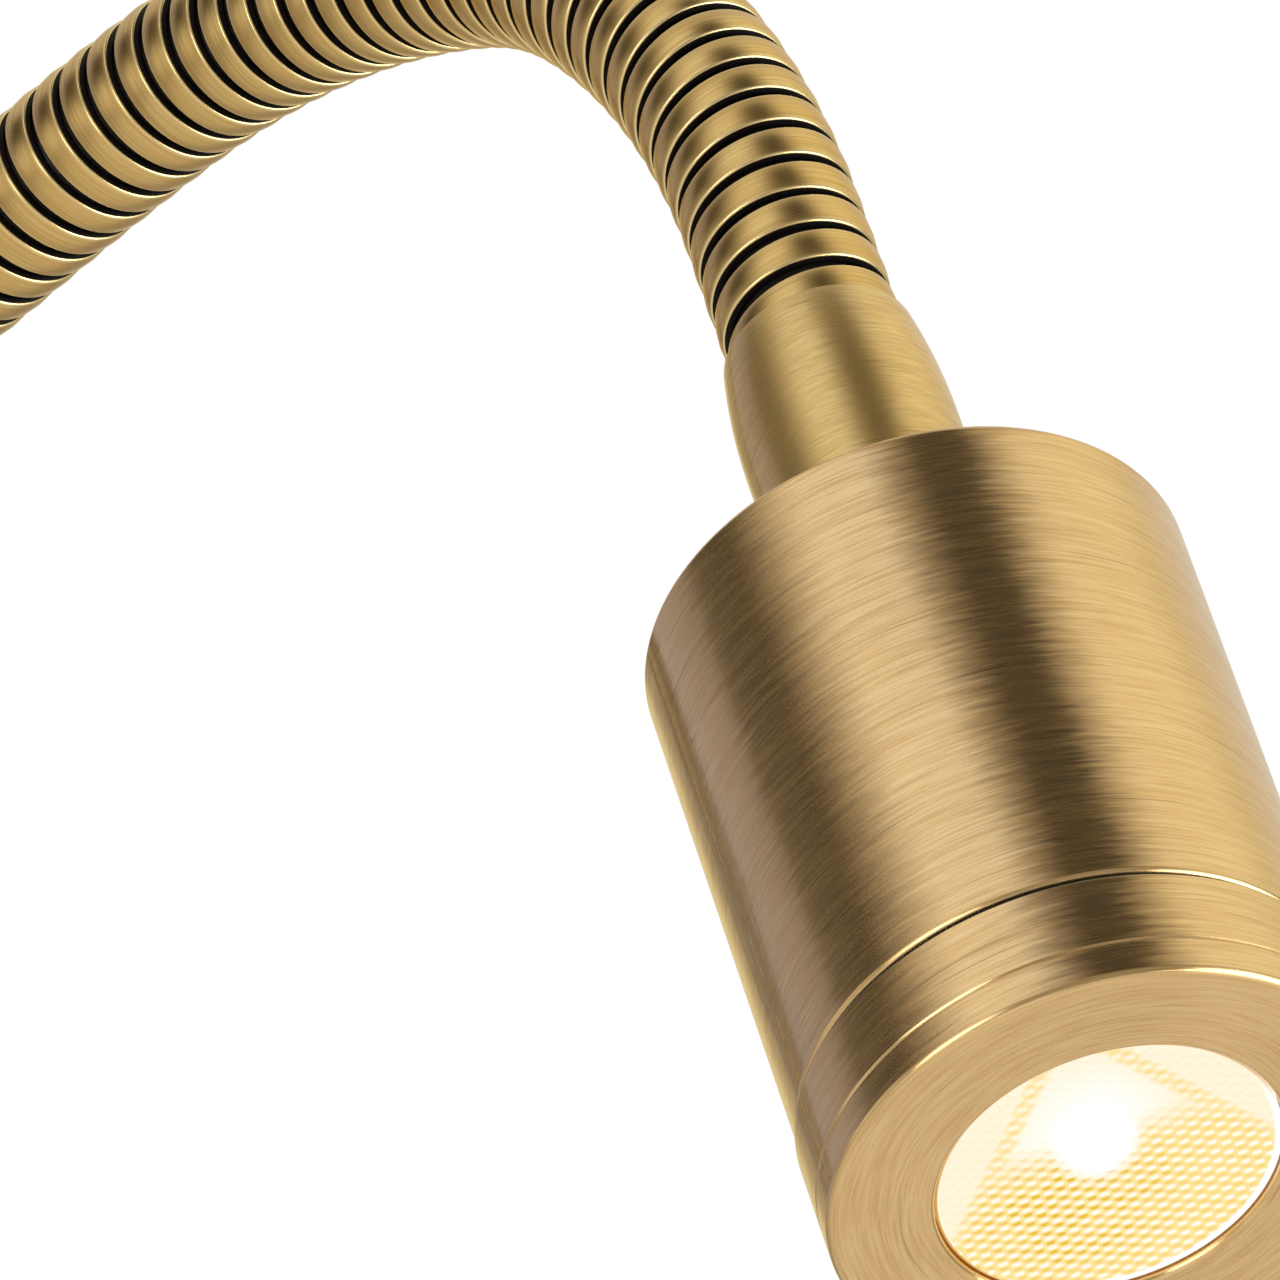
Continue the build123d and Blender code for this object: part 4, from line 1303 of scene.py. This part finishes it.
class SPOTLIGHT_OT_inner_pieces(bpy.types.Operator):
    """Finishes of the plated, moulded and cast pieces inside the lamp"""

    bl_idname = "spotlight.inner_pieces"
    bl_label = "Inner pieces"

    def execute(self, context):
        finish = context.scene.spotlight_finish
        finishes = {
            # Zinc plating: cool grey with a faint spangle
            "zinc_steel": grained("zinc plated steel", "#A9ADB0", "#C9CCCE", 1.2, (0.3, 0.45), 1.0),
            # Moulded ABS: black with a fine spark texture
            "black_plastic": grained("moulded black ABS", "#151515", "#232323", 0.25, (0.45, 0.6)),
            # Nylon: milky white with a soft sheen
            "pale_plastic": grained("white nylon", "#DAD7CE", "#EAE8E1", 0.6, (0.4, 0.5)),
            # Milled aluminium: pale grey with a dull shine
            "aluminium": grained("milled aluminium", "#B7BABD", "#D3D5D7", 0.5, (0.3, 0.42), 1.0),
            # Silicone rubber: translucent grey white, matt
            "silicone": grained("silicone rubber", "#C9C7C2", "#DBD9D4", 0.5, (0.6, 0.75)),
            "lead_sheath": bpy.data.materials["black PVC sheath"],
            # PVC insulation: brown, smooth
            "wire_insulation": grained("brown PVC insulation", "#5A3420", "#6E432B", 0.4, (0.35, 0.5)),
            "emitter": phosphor(),
            "brushed_brass": brushed_brass("brushed brass, fittings", CANOPY_SEAT, finish),
            "gooseneck_brass": bpy.data.materials["drawn brass band"],
            "optical_lens": bpy.data.materials["lit acrylic lens"],
        }
        for name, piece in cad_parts.items():
            if name in WALL_FITTINGS:
                continue
            for slot in piece.material_slots:
                kind = slot.material.name.split(".")[0]
                slot.material = finishes[kind]
        return {"FINISHED"}


class SPOTLIGHT_PT_panel(bpy.types.Panel):
    """Buttons for each group of pieces, with their sizes and colours"""

    bl_idname = "SPOTLIGHT_PT_panel"
    bl_label = "Wall spotlight"
    bl_space_type = "VIEW_3D"
    bl_region_type = "UI"
    bl_category = "Spotlight"

    def draw(self, context):
        for operator in OPERATORS:
            self.layout.operator(operator.bl_idname)
        scene = context.scene
        for group in (scene.spotlight_neck, scene.spotlight_head, scene.spotlight_finish):
            column = self.layout.column()
            for name in group.bl_rna.properties.keys():
                if name not in ("rna_type", "name"):
                    column.prop(group, name)


OPERATORS = (
    SPOTLIGHT_OT_stage,
    SPOTLIGHT_OT_neck,
    SPOTLIGHT_OT_head,
    SPOTLIGHT_OT_lens,
    SPOTLIGHT_OT_wall_end,
    SPOTLIGHT_OT_inner_pieces,
)
GROUPS = (SpotlightNeck, SpotlightHead, SpotlightFinish)
CLASSES = GROUPS + OPERATORS + (SPOTLIGHT_PT_panel,)


def register():
    for made in CLASSES:
        bpy.utils.register_class(made)
    bpy.types.Scene.spotlight_neck = bpy.props.PointerProperty(type=SpotlightNeck)
    bpy.types.Scene.spotlight_head = bpy.props.PointerProperty(type=SpotlightHead)
    bpy.types.Scene.spotlight_finish = bpy.props.PointerProperty(type=SpotlightFinish)


def unregister():
    del bpy.types.Scene.spotlight_finish
    del bpy.types.Scene.spotlight_head
    del bpy.types.Scene.spotlight_neck
    for made in reversed(CLASSES):
        bpy.utils.unregister_class(made)


def main():
    register()
    bpy.ops.spotlight.stage()
    bpy.ops.spotlight.neck()
    bpy.ops.spotlight.head()
    bpy.ops.spotlight.lens()
    bpy.ops.spotlight.wall_end()
    bpy.ops.spotlight.inner_pieces()


if __name__ == "__main__":
    main()
